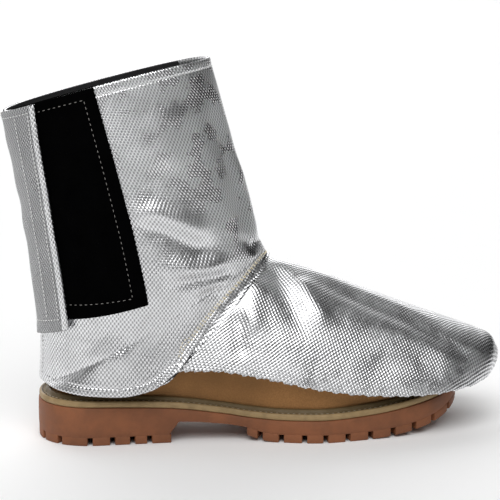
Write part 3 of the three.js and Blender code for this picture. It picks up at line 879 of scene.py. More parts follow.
def colour_prop(name, description, default):
    """A colour that a user can set."""
    return bpy.props.FloatVectorProperty(
        name=name, description=description, default=(*default, 1), size=4, subtype="COLOR"
    )


class SpatSizes(bpy.types.PropertyGroup):
    """Cloth and closure of the spat."""

    weave_pitch: length_prop(
        "Weave Pitch", "Distance between the bumps of one row of the weave", 0.0027
    )
    weave_rows: length_prop("Weave Rows", "Distance over which two rows of bumps repeat", 0.0037)
    weave_depth: length_prop("Weave Depth", "Depth of the weave under the metal film", 0.00034)
    crease_depth: share_prop(
        "Crease Depth", "Strength of the creases, where 1 is as in the photograph", 1.0
    )
    hem: length_prop("Hem Width", "Width of the turned hem at the rim and the heel", 0.0065)
    hem_rise: length_prop("Hem Rise", "How far the turned hem stands above the single cloth", 0.0003)
    pinch: length_prop(
        "Stitch Pinch", "Half width of the dent that a line of stitches pulls into the cloth", 0.0014
    )
    lining_pitch: length_prop("Lining Pitch", "Distance between the threads of the lining", 0.0018)
    silver: colour_prop("Silver", "Colour of the metal film", (0.9, 0.905, 0.92))
    lining: colour_prop("Lining", "Colour of the cloth inside", (0.022, 0.022, 0.024))
    tape: colour_prop("Tape", "Colour of the hook and loop tape", (0.0012, 0.0012, 0.0013))
    tape_thread: colour_prop("Tape Thread", "Colour of the stitches on the tape", (0.28, 0.27, 0.25))
    cloth_thread: colour_prop(
        "Cloth Thread", "Colour of the stitches on the cloth's hems", (0.85, 0.85, 0.84)
    )
    seam_thread: colour_prop(
        "Seam Thread", "Colour of the stitches on the ankle seam", (0.85, 0.76, 0.55)
    )


class BootSizes(bpy.types.PropertyGroup):
    """Boot under the spat."""

    leather: colour_prop("Leather", "Colour of the upper", (0.42, 0.21, 0.078))
    welt: colour_prop("Welt", "Colour of the welt's edge", (0.34, 0.23, 0.105))
    welt_rib: colour_prop("Welt Rib", "Colour of the rib beside the upper", (0.15, 0.1, 0.038))
    welt_olive_from: share_prop(
        "Rib Colour Start", "Share of the welt's profile where the rib's colour starts", 0.36
    )
    welt_groove_at: share_prop(
        "Stitch Groove", "Share of the welt's profile where the stitches lie in their groove", 0.34
    )
    welt_thread: colour_prop("Welt Thread", "Colour of the welt's stitches", (0.62, 0.55, 0.42))
    rubber: colour_prop("Rubber", "Colour of the outsole", (0.235, 0.086, 0.036))
    insole: colour_prop("Inner Sole", "Colour of the inner sole", (0.09, 0.065, 0.045))


class StageSizes(bpy.types.PropertyGroup):
    """Camera, floor and light."""

    azimuth: angle_prop(
        "Azimuth", "Direction of the camera round the boot, from its outer side", math.radians(-8.4)
    )
    elevation: angle_prop("Elevation", "Height of the camera above the horizon", math.radians(11))
    distance: length_prop("Distance", "Distance of the camera from the spat", 1.35)
    lens: bpy.props.FloatProperty(
        name="Lens",
        description="Focal length of the camera",
        default=134.86,
        unit="CAMERA",
    )
    floor: colour_prop("Floor", "Colour of the floor", (0.93, 0.93, 0.93))
    key: strength_prop("Key Light", "Strength of the broad light in front and above", 2.2)
    fill: strength_prop("Back Light", "Strength of the broad light behind", 1.2)


# The spat


HEM_EDGE = 4.5


def hem_rise(points, edges, width, rise):
    """Height of the turned hems along their edges."""
    total = np.zeros(points.shape[:-1])
    for edge in edges:
        distance, _ = nearest_on(edge, points)
        total = np.maximum(total, rise * smooth((width - distance) / HEM_EDGE))
    return total


def rim_places(first=SLIT_TURN, last=-SLIT_TURN):
    """Places along the rim, from the inner side to the outer one."""
    angle = np.radians(np.linspace(first, last, STITCH_SAMPLES))
    return angle, np.zeros(STITCH_SAMPLES)


def heel_hem_places(side):
    """Places along the heel's hem, from the slit's corner to the seam. side is -1 or 1."""
    at = np.linspace(HEEL_CORNER_AT, seam_at(0.0), STITCH_SAMPLES)
    return side * section["open"](at), at


def slit_places(side, start):
    """Places down the slit's edge below the flap."""
    at = np.linspace(start, HEEL_CORNER_AT, STITCH_SAMPLES // 4)
    return side * section["open"](at), at


def seam_places(start=0.0, end=1.0):
    """Places along the leg's edge over the vamp."""
    u = np.linspace(start, end, STITCH_SAMPLES)
    at = seam_at(u)
    return mix(section["open"](at), -section["open"](at), u), at


LEG_COLUMNS = 190
LEG_ROWS = 168
LEG_HEEL_SHARE = 0.65


def leg_place(u, v):
    """Angle and section at shares across and down the leg."""
    below = (v - LEG_HEEL_SHARE) / (1 - LEG_HEEL_SHARE)
    above = HEEL_CORNER_AT * v / LEG_HEEL_SHARE
    at = np.where(below < 0, above, mix(HEEL_CORNER_AT, seam_at(u), below))
    return mix(section["open"](at), -section["open"](at), u), at


def leg_hems():
    """Lines of points along the leg's hemmed edges."""
    edges = [rim_places()]
    edges += [heel_hem_places(-1), heel_hem_places(1)]
    edges += [slit_places(-1, 0), slit_places(1, 0)]
    return [spat_point(angle, at)[SPARSE] for angle, at in edges]


# The leg's weave lies level, wrapped round an ellipse that leans with the leg
LEG_AXIS = ([60, 140, 270], [80, 80, 50])
LEG_HALF_LENGTH = 76
LEG_HALF_WIDTH = 50
LEG_ROW_SLOPE = 0.07


def leg_lay(points, u, v):
    """Places of the leg's weave: round the ellipse, and down."""
    x, y, z = np.moveaxis(points, -1, 0)
    ahead = x - np.interp(z, *LEG_AXIS)
    turn = np.arctan2(y / LEG_HALF_WIDTH, ahead / LEG_HALF_LENGTH)
    turns = np.linspace(-math.pi, math.pi, STITCH_SAMPLES)
    rim = np.stack([LEG_HALF_LENGTH * np.cos(turns), LEG_HALF_WIDTH * np.sin(turns)], -1)
    return np.interp(turn, turns, cumulative(rim, 0)), -z - LEG_ROW_SLOPE * ahead


def leg_hem_distances(sizes):
    """Distances from the stitch lines of the hems and of the ankle seam."""
    hems = leg_hems()
    seam = spat_point(*seam_places())[SPARSE]

    def distances(points):
        hem = np.min([nearest_on(edge, points)[0] for edge in hems], axis=0)
        return hem - sizes.hem / MM, nearest_on(seam, points)[0] - SEAM_STITCH_INSET

    return distances


def make_leg(sizes):
    """Leg of the spat: one creased sheet with hems at its rim, heel and slit."""
    edges = leg_hems()

    def point(u, v):
        angle, at = leg_place(u, v)
        plain = spat_point(angle, at)
        rise = hem_rise(plain, edges, sizes.hem / MM, sizes.hem_rise / MM)
        return cloth_point(angle, at, rise, sizes.crease_depth)

    bm = grid(LEG_COLUMNS, LEG_ROWS, point, leg_lay, leg_hem_distances(sizes))
    materials = [aluminized_cloth(sizes), dark_lining(sizes)]
    leg = finish_piece("leg_cloth", bm, materials, ["leg_panel"])
    thicken(leg, CLOTH, inner_material=1)
    make_rim_facing(sizes)


RIM_FACING_ANGLE = 42
RIM_FACING_WIDTH_AT = 0.04
RIM_FACING_START_AT = 0.0005
RIM_FACING_GAP = 0.25
RIM_FACING_THICKNESS = 0.2


def make_rim_facing(sizes):
    """Silver cloth turned over the rim on to the inside at the front."""

    def point(u, v):
        angle = np.radians(mix(-RIM_FACING_ANGLE, RIM_FACING_ANGLE, u))
        at = mix(RIM_FACING_START_AT, RIM_FACING_WIDTH_AT, v)
        height = np.full(u.shape, -CLOTH - RIM_FACING_GAP)
        return cloth_point(angle, at, height, sizes.crease_depth)

    bm = grid(48, 8, point)
    facing = finish_piece("rim_facing", bm, [aluminized_cloth(sizes)])
    thicken(facing, -RIM_FACING_THICKNESS)


VAMP_COLUMNS = 170
VAMP_ROWS = 150
VAMP_LAP_ROWS = 8
VAMP_ROW_POWER = 0.9
RAW_EDGE = 0.008
RAW_EDGE_WAVES = 700
RAW_EDGE_SLOW_SHARE = 0.37
RAW_EDGE_FROM = 0.499
RIDGE_SLOPE = math.radians(25)


def vamp_lay(points, u, v):
    """Places of the vamp's weave: across from the ridge, and along the ridge."""
    across = cumulative(points, 0)
    along_ridge = points[..., 0] * math.cos(RIDGE_SLOPE) - points[..., 2] * math.sin(RIDGE_SLOPE)
    return along_ridge, across - across[len(across) // 2]


def make_vamp(sizes):
    """Vamp of the spat: a creased sheet over the boot's instep and toe, tucked under the leg."""
    lap = SEAM_LAP / SOLE_LENGTH
    first = VAMP_LAP_ROWS / VAMP_ROWS

    def point(u, v):
        beyond = np.clip((v - first) / (1 - first), 0, 1)
        under = mix(seam_at(u) - lap, seam_at(u), v / first)
        at = np.where(v < first, under, mix(seam_at(u), 1.0, beyond**VAMP_ROW_POWER))
        waves = np.sin(at * RAW_EDGE_WAVES) * np.sin(at * RAW_EDGE_WAVES * RAW_EDGE_SLOW_SHARE)
        frayed = RAW_EDGE * waves * (abs(u - 0.5) > RAW_EDGE_FROM)
        angle = mix(section["open"](at), -section["open"](at), u) * (1 + frayed)
        return cloth_point(angle, at, np.full(u.shape, VAMP_FACE), sizes.crease_depth)

    bm = grid(VAMP_COLUMNS, VAMP_ROWS, point, vamp_lay)
    materials = [aluminized_cloth(sizes), dark_lining(sizes)]
    vamp = finish_piece("vamp_cloth", bm, materials, ["vamp_panel"])
    thicken(vamp, CLOTH, inner_material=1)


# Closure: a loop panel on the leg, and a flap round the back with a hook strip under it. Angles
# are in degrees from the front line.
LOOP_THICKNESS = 1.4
HOOK_THICKNESS = 1.1
LOOP_FRONT_TOP = -100
LOOP_FRONT_BOTTOM = -95
LOOP_BACK = -161
LOOP_TOP = 0.0
LOOP_BOTTOM_FRONT = 0.458
LOOP_BOTTOM_BACK = 0.43
FLAP_EDGE_TOP = -134
FLAP_EDGE_BOTTOM = -138
FLAP_EDGE_BOW = -1.8
FLAP_BACK = -213
FLAP_BOTTOM = 0.455
FLAP_RISE_FROM = -177
FLAP_RISE_TO = -164
FLAP_LIFT = 0.2
FLAP_BASE = 3 * LAYER_GAP + LOOP_THICKNESS + HOOK_THICKNESS
LOOP_FACE = LAYER_GAP + LOOP_THICKNESS
LOOP_WIDTH = 62
LOOP_LENGTH = 128
LOOP_ROUNDING_ACROSS = 60
LOOP_ROUNDING_DOWN = 130
LOOP_ROUNDING = 1.6
LOOP_EDGE_DROP = 0.6
LOOP_UNDERSIDE = 0.7
TAPE_COLUMNS = 60
TAPE_ROWS = 110
TAPE_LIP = 0.7


def loop_place(u, v):
    """Angle and section at shares across and down the loop panel."""
    front = mix(LOOP_FRONT_TOP, LOOP_FRONT_BOTTOM, v)
    bottom = mix(LOOP_BOTTOM_FRONT, LOOP_BOTTOM_BACK, u)
    return np.radians(mix(front, LOOP_BACK, u)), mix(LOOP_TOP, bottom, v)


def make_loop_tape(sizes):
    """Black loop panel with softly rounded edges."""

    def point(u, v):
        angle, at = loop_place(u, v)
        edge_across = np.minimum(u, 1 - u) * LOOP_ROUNDING_ACROSS
        edge_down = np.minimum(v, 1 - v) * LOOP_ROUNDING_DOWN
        edge = np.minimum(edge_across, edge_down)
        drop = LOOP_EDGE_DROP * (1 - smooth(edge / LOOP_ROUNDING))
        lip = v < 1.5 / TAPE_ROWS
        height = np.where(v < 0.5 / TAPE_ROWS, -CLOTH - TAPE_LIP, LOOP_FACE - drop)
        points = cloth_point(angle, at, height, 0)
        points[..., 2] += TAPE_LIP * lip
        return points

    bm = grid(TAPE_COLUMNS, TAPE_ROWS, point)
    tape = finish_piece("loop_tape", bm, [hook_and_loop(sizes)], ["loop_panel"])
    thicken(tape, LOOP_THICKNESS - LOOP_UNDERSIDE)


def flap_edge(v):
    """Degrees of the flap's free edge at a share down it."""
    return mix(FLAP_EDGE_TOP, FLAP_EDGE_BOTTOM, v) + FLAP_EDGE_BOW * np.sin(math.pi * v)


def flap_face(degrees):
    """Height of the flap's outer face above the leg."""
    rise = smooth((degrees - FLAP_RISE_FROM) / (FLAP_RISE_TO - FLAP_RISE_FROM))
    return mix(LAYER_GAP, FLAP_BASE, rise) + CLOTH + FLAP_LIFT


FLAP_WAVE = 0.5
FLAP_WAVES_DOWN = 9
FLAP_WAVES_ROUND = 4
FLAP_WAVE_MIDDLE = -150
FLAP_HEM_RISE = 0.5
FLAP_HEM_SHARE = 0.035
FLAP_HEM_EDGE = 0.008
FLAP_COLUMNS = 70
FLAP_ROWS = 130
FLAP_INTO_BINDING = 1.5


def flap_height(degrees, at):
    """Height of the flap's face with its hems and a slight waviness."""
    down = at / FLAP_BOTTOM
    round_wave = np.sin(np.radians(FLAP_WAVES_ROUND * (degrees - FLAP_WAVE_MIDDLE)))
    wave = FLAP_WAVE * np.sin(FLAP_WAVES_DOWN * math.pi * down) * round_wave
    into_hem = FLAP_HEM_SHARE - np.minimum(down, 1 - down)
    hems = FLAP_HEM_RISE * smooth(into_hem / FLAP_HEM_EDGE)
    return flap_face(degrees) + wave * np.sin(math.pi * down) + hems


def make_flap(sizes):
    """Silver flap that closes the slit, with its bound free edge."""

    def point(u, v):
        degrees = mix(FLAP_BACK, flap_edge(v) - FLAP_INTO_BINDING, 1 - u)
        at = FLAP_BOTTOM * v
        return cloth_point(np.radians(degrees), at, flap_height(degrees, at), 0)

    runs = [spat_point(np.radians(degrees), at)[SPARSE] for degrees, at in flap_runs()]

    def distances(points):
        hem = np.min([nearest_on(run, points)[0] for run in runs], axis=0)
        return np.maximum(hem - FLAP_BASE, 0), np.full(hem.shape, FAR)

    bm = grid(FLAP_COLUMNS, FLAP_ROWS, point, hem=distances)
    flap = finish_piece("flap_cloth", bm, [flap_cloth(sizes)], ["closure_flap"])
    thicken(flap, CLOTH)
    make_flap_binding(sizes)


BINDING_WIDTH_ANGLE = 3.9
BINDING_HALF_THICKNESS = 1.55
BINDING_POWER = 0.6
BINDING_MARGIN = 0.0015
BINDING_COLUMNS = 20
BINDING_ROWS = 140
BINDING_FACE = FLAP_BASE + CLOTH / 2 + FLAP_LIFT + BINDING_HALF_THICKNESS


def squared(side):
    """A round section's sine or cosine, made squarer."""
    return np.sign(side) * np.abs(side) ** BINDING_POWER


def make_flap_binding(sizes):
    """Folded tape over the flap's free edge."""

    def point(u, v):
        turn = 2 * math.pi * u
        middle = flap_edge(v) - BINDING_WIDTH_ANGLE / 2
        flat = squared(np.cos(turn))
        degrees = middle + flat * BINDING_WIDTH_ANGLE / 2
        at = FLAP_BOTTOM * mix(BINDING_MARGIN, 1 - BINDING_MARGIN, v)
        height = flap_face(middle) - CLOTH / 2 + BINDING_HALF_THICKNESS * squared(np.sin(turn))
        return cloth_point(np.radians(degrees), at, height, 0)

    bm = grid(BINDING_COLUMNS, BINDING_ROWS, point)
    close_up(bm)
    bmesh.ops.holes_fill(bm, edges=[edge for edge in bm.edges if edge.is_boundary], sides=0)
    bmesh.ops.recalc_face_normals(bm, faces=bm.faces)
    finish_piece("flap_binding", bm, [aluminized_cloth(sizes)])


HEM_STITCH = Stitch(pitch=3.2, length=2.3, width=0.55, lift=0.05)
TAPE_STITCH = Stitch(pitch=3.7, length=2.2, width=0.5, lift=0.1)
FLAP_STITCH = Stitch(pitch=2.9, length=2.3, width=0.8, lift=0.15)
SEAM_STITCH = Stitch(pitch=3.1, length=2.4, width=0.7, lift=0.12)
TAPE_STITCH_INSET = 6.6
SEAM_STITCH_INSET = 4.6
SEAM_ROW_GAP = 1.7
SEAM_STITCH_START = 0.05
HEM_STITCH_HEIGHT = 0.2
RIM_STITCH_START = 177
RIM_STITCH_END = LOOP_FRONT_TOP + 2
SLIT_STITCH_START = FLAP_BOTTOM + 0.005
TAPE_STITCH_END = 0.7
BINDING_RISE_FROM = 1.5


def make_stitching(sizes):
    """Threads of the hems, the ankle seam, the loop panel and the flap."""
    cloth = thread("hem thread", sizes.cloth_thread)
    seam = thread("seam thread", sizes.seam_thread)
    tape = thread("tape thread", sizes.tape_thread)
    inset = sizes.hem / MM
    bm = bmesh.new()
    rim = rim_places(RIM_STITCH_START, RIM_STITCH_END)
    stitch_cloth(bm, *lower(*rim, inset), HEM_STITCH_HEIGHT, HEM_STITCH)
    for side in (-1, 1):
        for places in (heel_hem_places(side), slit_places(side, SLIT_STITCH_START)):
            stitch_cloth(bm, *beside(*places, -side * inset), HEM_STITCH_HEIGHT, HEM_STITCH)
    finish_piece("hem_thread", bm, [cloth])
    bm = bmesh.new()
    for inset in (SEAM_STITCH_INSET, SEAM_STITCH_INSET + SEAM_ROW_GAP):
        places = seam_places(SEAM_STITCH_START, 1 - SEAM_STITCH_START)
        stitch_cloth(bm, *lower(*places, -inset), 0.0, SEAM_STITCH)
    finish_piece("seam_thread", bm, [seam])
    bm = bmesh.new()
    for run in tape_runs():
        stitch_cloth(bm, *run, LOOP_FACE, TAPE_STITCH)
    finish_piece("tape_thread", bm, [tape])
    bm = bmesh.new()
    for degrees, at in flap_runs():
        past_edge = degrees - flap_edge(at / FLAP_BOTTOM)
        on_binding = smooth(past_edge / BINDING_WIDTH_ANGLE + BINDING_RISE_FROM)
        height = mix(flap_height(degrees, at), BINDING_FACE, on_binding)
        line = cloth_point(np.radians(degrees), at, height, 0)
        add_stitches(bm, line, outward(spat_point, np.radians(degrees), at), FLAP_STITCH)
    finish_piece("flap_thread", bm, [cloth])


def tape_runs():
    """Lines of stitches inside the loop panel's top, front and bottom edges."""
    u_inset = TAPE_STITCH_INSET / LOOP_WIDTH
    v_inset = TAPE_STITCH_INSET / LOOP_LENGTH
    t = np.linspace(0, 1, STITCH_SAMPLES)
    still = np.ones(STITCH_SAMPLES)
    top = loop_place(mix(u_inset, TAPE_STITCH_END, t), v_inset * still)
    front = loop_place(u_inset * still, mix(v_inset, 1 - v_inset, t))
    bottom = loop_place(mix(u_inset, TAPE_STITCH_END, t), (1 - v_inset) * still)
    return [top, front, bottom]


FLAP_MIDDLE_STITCH = -151
FLAP_EDGE_STITCH = 5.8
BINDING_STITCH = 1.4
FLAP_END_MARGIN = 0.05
BINDING_END_MARGIN = 0.005
FLAP_FRONT_MARGIN = 5
FLAP_BACK_MARGIN = 3
FLAP_HEM_STITCH = 0.042
MIDDLE_FOLLOW = 0.6


def flap_runs():
    """Lines of stitches down the flap and across its hems, as degrees and sections."""
    t = np.linspace(0, 1, STITCH_SAMPLES)
    still = np.ones(STITCH_SAMPLES)
    down = FLAP_BOTTOM * mix(FLAP_END_MARGIN, 1 - FLAP_END_MARGIN, t)
    full = FLAP_BOTTOM * mix(BINDING_END_MARGIN, 1 - BINDING_END_MARGIN, t)
    edge = flap_edge(t)
    back_line = FLAP_BACK + FLAP_BACK_MARGIN
    top_line = mix(FLAP_EDGE_TOP - FLAP_FRONT_MARGIN, back_line, t)
    bottom_line = mix(FLAP_EDGE_BOTTOM - FLAP_FRONT_MARGIN, back_line, t)
    middle = (FLAP_MIDDLE_STITCH + (edge - FLAP_EDGE_TOP) * MIDDLE_FOLLOW, down)
    inner = (edge - FLAP_EDGE_STITCH, down)
    bound = (edge - BINDING_STITCH, full)
    top = (top_line, FLAP_HEM_STITCH * FLAP_BOTTOM * still)
    bottom = (bottom_line, (1 - FLAP_HEM_STITCH) * FLAP_BOTTOM * still)
    back = (back_line * still, down)
    return [middle, inner, bound, top, bottom, back]


# The boot


# Rings of the upper from the feather line to the collar: where each crosses the middle plane, its
# half width against the welt's, and how closely it follows the sole's outline.
Ring = namedtuple("Ring", "at front back front_z back_z bulge outline")


def toe_ring(at, front, back, front_z, back_z, bulge, outline):
    """A ring with its heights as shares of the toe cap's."""
    heights = (front_z * TOE_CAP_HEIGHT, back_z * TOE_CAP_HEIGHT)
    return Ring(at, front * SOLE_LENGTH, back * SOLE_LENGTH, *heights, bulge, outline)


def ankle_ring(at, front, back, front_z, back_z, bulge, outline=0.0):
    """A ring with its heights as shares of the collar's."""
    heights = (front_z * COLLAR_HEIGHT, back_z * COLLAR_HEIGHT)
    return Ring(at, front * SOLE_LENGTH, back * SOLE_LENGTH, *heights, bulge, outline)


COLLAR_BACK = 0.034
COLLAR_FRONT = COLLAR_BACK + COLLAR_DEPTH / SOLE_LENGTH
COLLAR_BULGE = COLLAR_WIDTH / (BALL_WIDTH - 2 * UPPER_SETBACK)
COLLAR_AT = 11
FEATHER_RISE = 1.4
RINGS = [
    toe_ring(0, 0.9695, 0.0305, 0.46, 0.44, 1.0, 1.0),
    toe_ring(1, 0.9695, 0.0305, 0.5, 0.46, 1.0, 1.0),
    toe_ring(2, 0.957, 0.023, 0.73, 0.51, 1.03, 0.95),
    toe_ring(3, 0.928, 0.02, 0.91, 0.54, 0.95, 0.85),
    toe_ring(4, 0.875, 0.02, 0.995, 0.6, 0.86, 0.7),
    toe_ring(5, 0.79, 0.02, 1.05, 0.69, 0.84, 0.4),
    toe_ring(6, 0.695, 0.025, 1.19, 0.82, 0.84, 0.2),
    ankle_ring(7, 0.605, 0.032, 0.705, 0.52, 0.81, 0.05),
    ankle_ring(8, 0.525, 0.037, 0.795, 0.63, 0.79),
    ankle_ring(9, 0.485, 0.038, 0.89, 0.76, 0.79),
    ankle_ring(10, 0.46, 0.036, 0.96, 0.88, 0.8),
    ankle_ring(COLLAR_AT, COLLAR_FRONT, COLLAR_BACK, 1.0, 0.955, COLLAR_BULGE),
]
ring = {name: along(RINGS, name) for name in Ring._fields[1:]}


def welt_top(x):
    """Height of the welt beside its rib."""
    return sole_top(x) + GAP + WELT_THICKNESS


def upper_point(turn, level):
    """A point on the upper at a turn round it and a level from feather line to collar."""
    at = level * COLLAR_AT
    feather = inset_point(turn, np.full(np.shape(turn), float(UPPER_SETBACK)))
    feather_share = (feather[..., 0] - UPPER_SETBACK) / (SOLE_LENGTH - 2 * UPPER_SETBACK)
    round_share = (1 + np.cos(turn * math.pi)) / 2
    follow = ring["outline"](at)
    share = mix(round_share, feather_share, follow)
    taper = 1 - INSTEP_TAPER * share**3
    width = -np.sin(turn * math.pi) * (BALL_WIDTH / 2 - UPPER_SETBACK) * taper
    y = mix(width, feather[..., 1], follow) * ring["bulge"](at)
    x = mix(ring["back"](at), ring["front"](at), share)
    base = welt_top(x) + GAP + FEATHER_RISE * WELT_RIB_HEIGHT * np.minimum(at, 1)
    slanted = np.maximum(mix(ring["back_z"](at), ring["front_z"](at), share), base)
    return np.stack([x, y, mix(base, slanted, np.clip(at - 1, 0, 1))], -1)


COLLAR_PAD = 2.2
COLLAR_PAD_FROM = 0.88
UPPER_COLUMNS = 180
UPPER_ROWS = 90
UPPER_ROW_POWER = 0.8


def make_upper(sizes):
    """Nubuck upper with a padded collar."""

    def point(u, v):
        turn = 2 - 2 * u
        level = v**UPPER_ROW_POWER
        in_pad = np.clip((level - COLLAR_PAD_FROM) / (1 - COLLAR_PAD_FROM), 0, 1)
        pad = COLLAR_PAD * np.sin(math.pi * in_pad) ** 2
        base = upper_point(turn, level)
        return base + outward(upper_point, turn, level) * pad[..., None]

    bm = grid(UPPER_COLUMNS, UPPER_ROWS, point)
    bmesh.ops.remove_doubles(bm, verts=bm.verts, dist=MERGE_DISTANCE)
    upper = finish_piece("upper_leather", bm, [nubuck(sizes)], ["boot_upper"])
    thicken(upper, UPPER_WALL)


# Profile of the welt as insets from the sole's edge and heights over the sole's top
WELT_PROFILE = [
    *[(WELT_WIDTH, 0.3), (1.0, 0.3), (0.62, 0.9), (0.45, 2.4), (0.62, 3.8), (1.1, 4.5), (1.9, 4.75)],
    *[(2.9, 4.7), (3.4, 4.3), (3.9, 4.05), (4.4, 4.2), (4.9, 4.75), (5.5, 5.4), (5.9, 6.4)],
    *[(6.6, 7.1), (7.5, 7.3), (8.3, 7.0), (8.75, 6.1), (8.85, 4.7), (WELT_WIDTH, 4.7)],
    (WELT_WIDTH, 0.3),
]
WELT_COLUMNS = 260
WELT_STITCH_INSET = 3.9
WELT_STITCH_HEIGHT = 4.05
WELT_STITCH = Stitch(pitch=4.0, length=2.9, width=1.0, lift=0.15)


def make_welt(sizes):
    """Stitched welt with a raised rib against the upper."""
    profile = np.array(WELT_PROFILE, float)
    rows = len(profile) - 1

    def point(u, v):
        row = np.rint(v * rows).astype(int)
        plan = inset_point(2 * u, profile[row, 0])
        return np.dstack([plan, sole_top(plan[..., 0]) + profile[row, 1]])

    bm = grid(WELT_COLUMNS, rows, point, by_share)
    close_up(bm)
    finish_piece("welt_band", bm, [welt_strip(sizes)], ["welt"])
    bm = bmesh.new()
    turn = np.linspace(0, 2, 4 * STITCH_SAMPLES)
    plan = inset_point(turn, np.full(turn.shape, WELT_STITCH_INSET))
    height = sole_top(plan[:, 0]) + WELT_STITCH_HEIGHT
    line = np.column_stack([plan, height])
    normals = np.tile([0.0, 0.0, 1.0], (len(line), 1))
    add_stitches(bm, line, normals, WELT_STITCH)
    finish_piece("welt_thread", bm, [thread("welt thread", sizes.welt_thread)])


# Rows of the outsole's cross-section: inset from its edge, share of its height, and a step down
# from there. An inset of None is the middle of the sole.
SOLE_ROWS = [
    *[(None, 1, 0), (12, 1, 0), (1.2, 1, 0), (0.35, 1, -0.35), (0, 1, -1.2), (-0.25, 0.6, 0)],
    *[(-0.25, 0.25, 0), (0, 0, 1.0), (0.3, 0, 0.3), (1.2, 0, 0), (12, 0, 0), (None, 0, 0)],
]
SOLE_COLUMNS = 260
SOLE_END_MARGIN = 14
TREAD_EDGE = 0.05
SIDE_GROOVES_HEEL = [0.009, 0.042, 0.11, 0.162, 0.208, 0.247]
SIDE_GROOVES_TOE = [0.5, 0.547, 0.599, 0.648, 0.701, 0.756, 0.811, 0.864, 0.915, 0.962, 0.991]


def turn_at(share):
    """Turn of the outer side at a share of the sole's length."""
    return math.acos(2 * share - 1) / math.pi


def sole_turns():
    """Turns of the outsole's columns, with pairs at the steps of its underside."""
    even = np.linspace(0, 2, SOLE_COLUMNS)
    steps = [HEEL_BREAST_FOOT, HEEL_BREAST_LENGTH, TREAD_START - TREAD_EDGE, TREAD_START + TREAD_EDGE]
    outer = [turn_at(x / SOLE_LENGTH) for x in steps]
    return np.sort(np.concatenate([even, outer, [2 - turn for turn in outer]]))


def make_sole_body():
    """Body of the outsole, without its lugs."""
    turns = sole_turns()
    rows = len(SOLE_ROWS) - 1

    def point(u, v):
        turn = turns[np.rint(u * (len(turns) - 1)).astype(int)]
        places = []
        for inset, share, step in SOLE_ROWS:
            edge = outline_point(turn[:, 0])
            plan = inset_point(turn[:, 0], np.full(len(turns), float(inset or 0)))
            if inset is None:
                x = np.clip(edge[:, 0], SOLE_END_MARGIN, SOLE_LENGTH - SOLE_END_MARGIN)
                plan = np.column_stack([x, sole_axis(x / SOLE_LENGTH)])
            top = sole_top(edge[:, 0])
            height = mix(sole_under(edge[:, 0]), top, share) + step
            places.append(np.column_stack([plan, height]))
        return np.stack(places, 1)

    bm = grid(len(turns) - 1, rows, point, by_share)
    close_up(bm)
    return bm


BLOCK_CUTS = 3
BLOCK_EDGE_ANGLE = math.radians(35)


def add_block(bm, corners, bevel):
    """Adds a block whose corner function places its shares along, across and up."""
    block = bmesh.new()
    bmesh.ops.create_cube(block, size=1)
    long_edges = [edge for edge in block.edges if abs(edge.verts[0].co.x - edge.verts[1].co.x) > 0.5]
    bmesh.ops.subdivide_edges(block, edges=long_edges, cuts=BLOCK_CUTS, use_grid_fill=True)
    shares = np.array([vertex.co for vertex in block.verts]) + 0.5
    for vertex, co in zip(block.verts, placed(corners(shares))):
        vertex.co = co
    block.normal_update()
    sharp = [edge for edge in block.edges if abs(edge.calc_face_angle(0)) > BLOCK_EDGE_ANGLE]
    bmesh.ops.bevel(
        block,
        geom=sharp,
        offset=bevel * MM,
        offset_type="OFFSET",
        affect="EDGES",
        segments=2,
        profile=0.5,
        material=-1,
    )
    mesh = bpy.data.meshes.new("block")
    block.to_mesh(mesh)
    block.free()
    bm.from_mesh(mesh)
    bpy.data.meshes.remove(mesh)


LUG_OVERLAP = 0.6
LUG_BEVEL = 0.7
BREAST_LUG_REACH = 1.5
FLAT_FACE_ANGLE = math.radians(38)


def side_lug_spans():
    """Turns between which the side lugs of the outer side lie."""
    heel_end = (HEEL_BREAST_FOOT + BREAST_LUG_REACH) / SOLE_LENGTH
    toe_start = TREAD_START / SOLE_LENGTH
    spans = []
    heel_bounds = [0.0, *SIDE_GROOVES_HEEL, heel_end]
    toe_bounds = [toe_start, *SIDE_GROOVES_TOE, 1.0]
    for bounds in (heel_bounds, toe_bounds):
        for low, high in zip(bounds, bounds[1:]):
            start = 0.0 if low == toe_start else LUG_GROOVE_WIDTH / 2
            end = 0.0 if high == heel_end else LUG_GROOVE_WIDTH / 2
            spans.append((shrunk(turn_at(low), -start), shrunk(turn_at(high), end)))
    return spans


def shrunk(turn, distance):
    """A turn moved along the outline by a distance."""
    step = 1e-3
    speed = np.linalg.norm(outline_point(turn + step) - outline_point(turn - step)) / (2 * step)
    return turn + distance / speed


def make_lugs(bm):
    """Side lugs round the heel and forepart, and a row of lugs down the middle of each."""
    for start, end in side_lug_spans():
        for mirror in (False, True):

            def corners(shares):
                turn = mix(start, end, shares[:, 0])
                turn = 2 - turn if mirror else turn
                plan = inset_point(turn, LUG_REACH * shares[:, 1])
                bottom = np.minimum(tread_bottom(plan[:, 0]), tread_bottom(outline_point(turn)[:, 0]))
                rise = (LUG_HEIGHT + LUG_OVERLAP) * shares[:, 2]
                return np.column_stack([plan, bottom + rise])

            add_block(bm, corners, LUG_BEVEL)
    pitch = CENTRE_LUG_LENGTH + LUG_GROOVE_WIDTH
    heel = np.arange(2 * LUG_REACH, HEEL_BREAST_LENGTH - LUG_REACH, pitch)
    toe = np.arange(TREAD_START + LUG_REACH, SOLE_LENGTH - 2 * LUG_REACH, pitch)
    for middle in [*heel, *toe]:

        def corners(shares):
            x = middle + CENTRE_LUG_LENGTH * (shares[:, 0] - 0.5)
            y = sole_axis(x / SOLE_LENGTH) + CENTRE_LUG_WIDTH * (shares[:, 1] - 0.5)
            rise = (LUG_HEIGHT + LUG_OVERLAP) * shares[:, 2]
            return np.column_stack([x, y, tread_bottom(x) + rise])

        add_block(bm, corners, LUG_BEVEL)


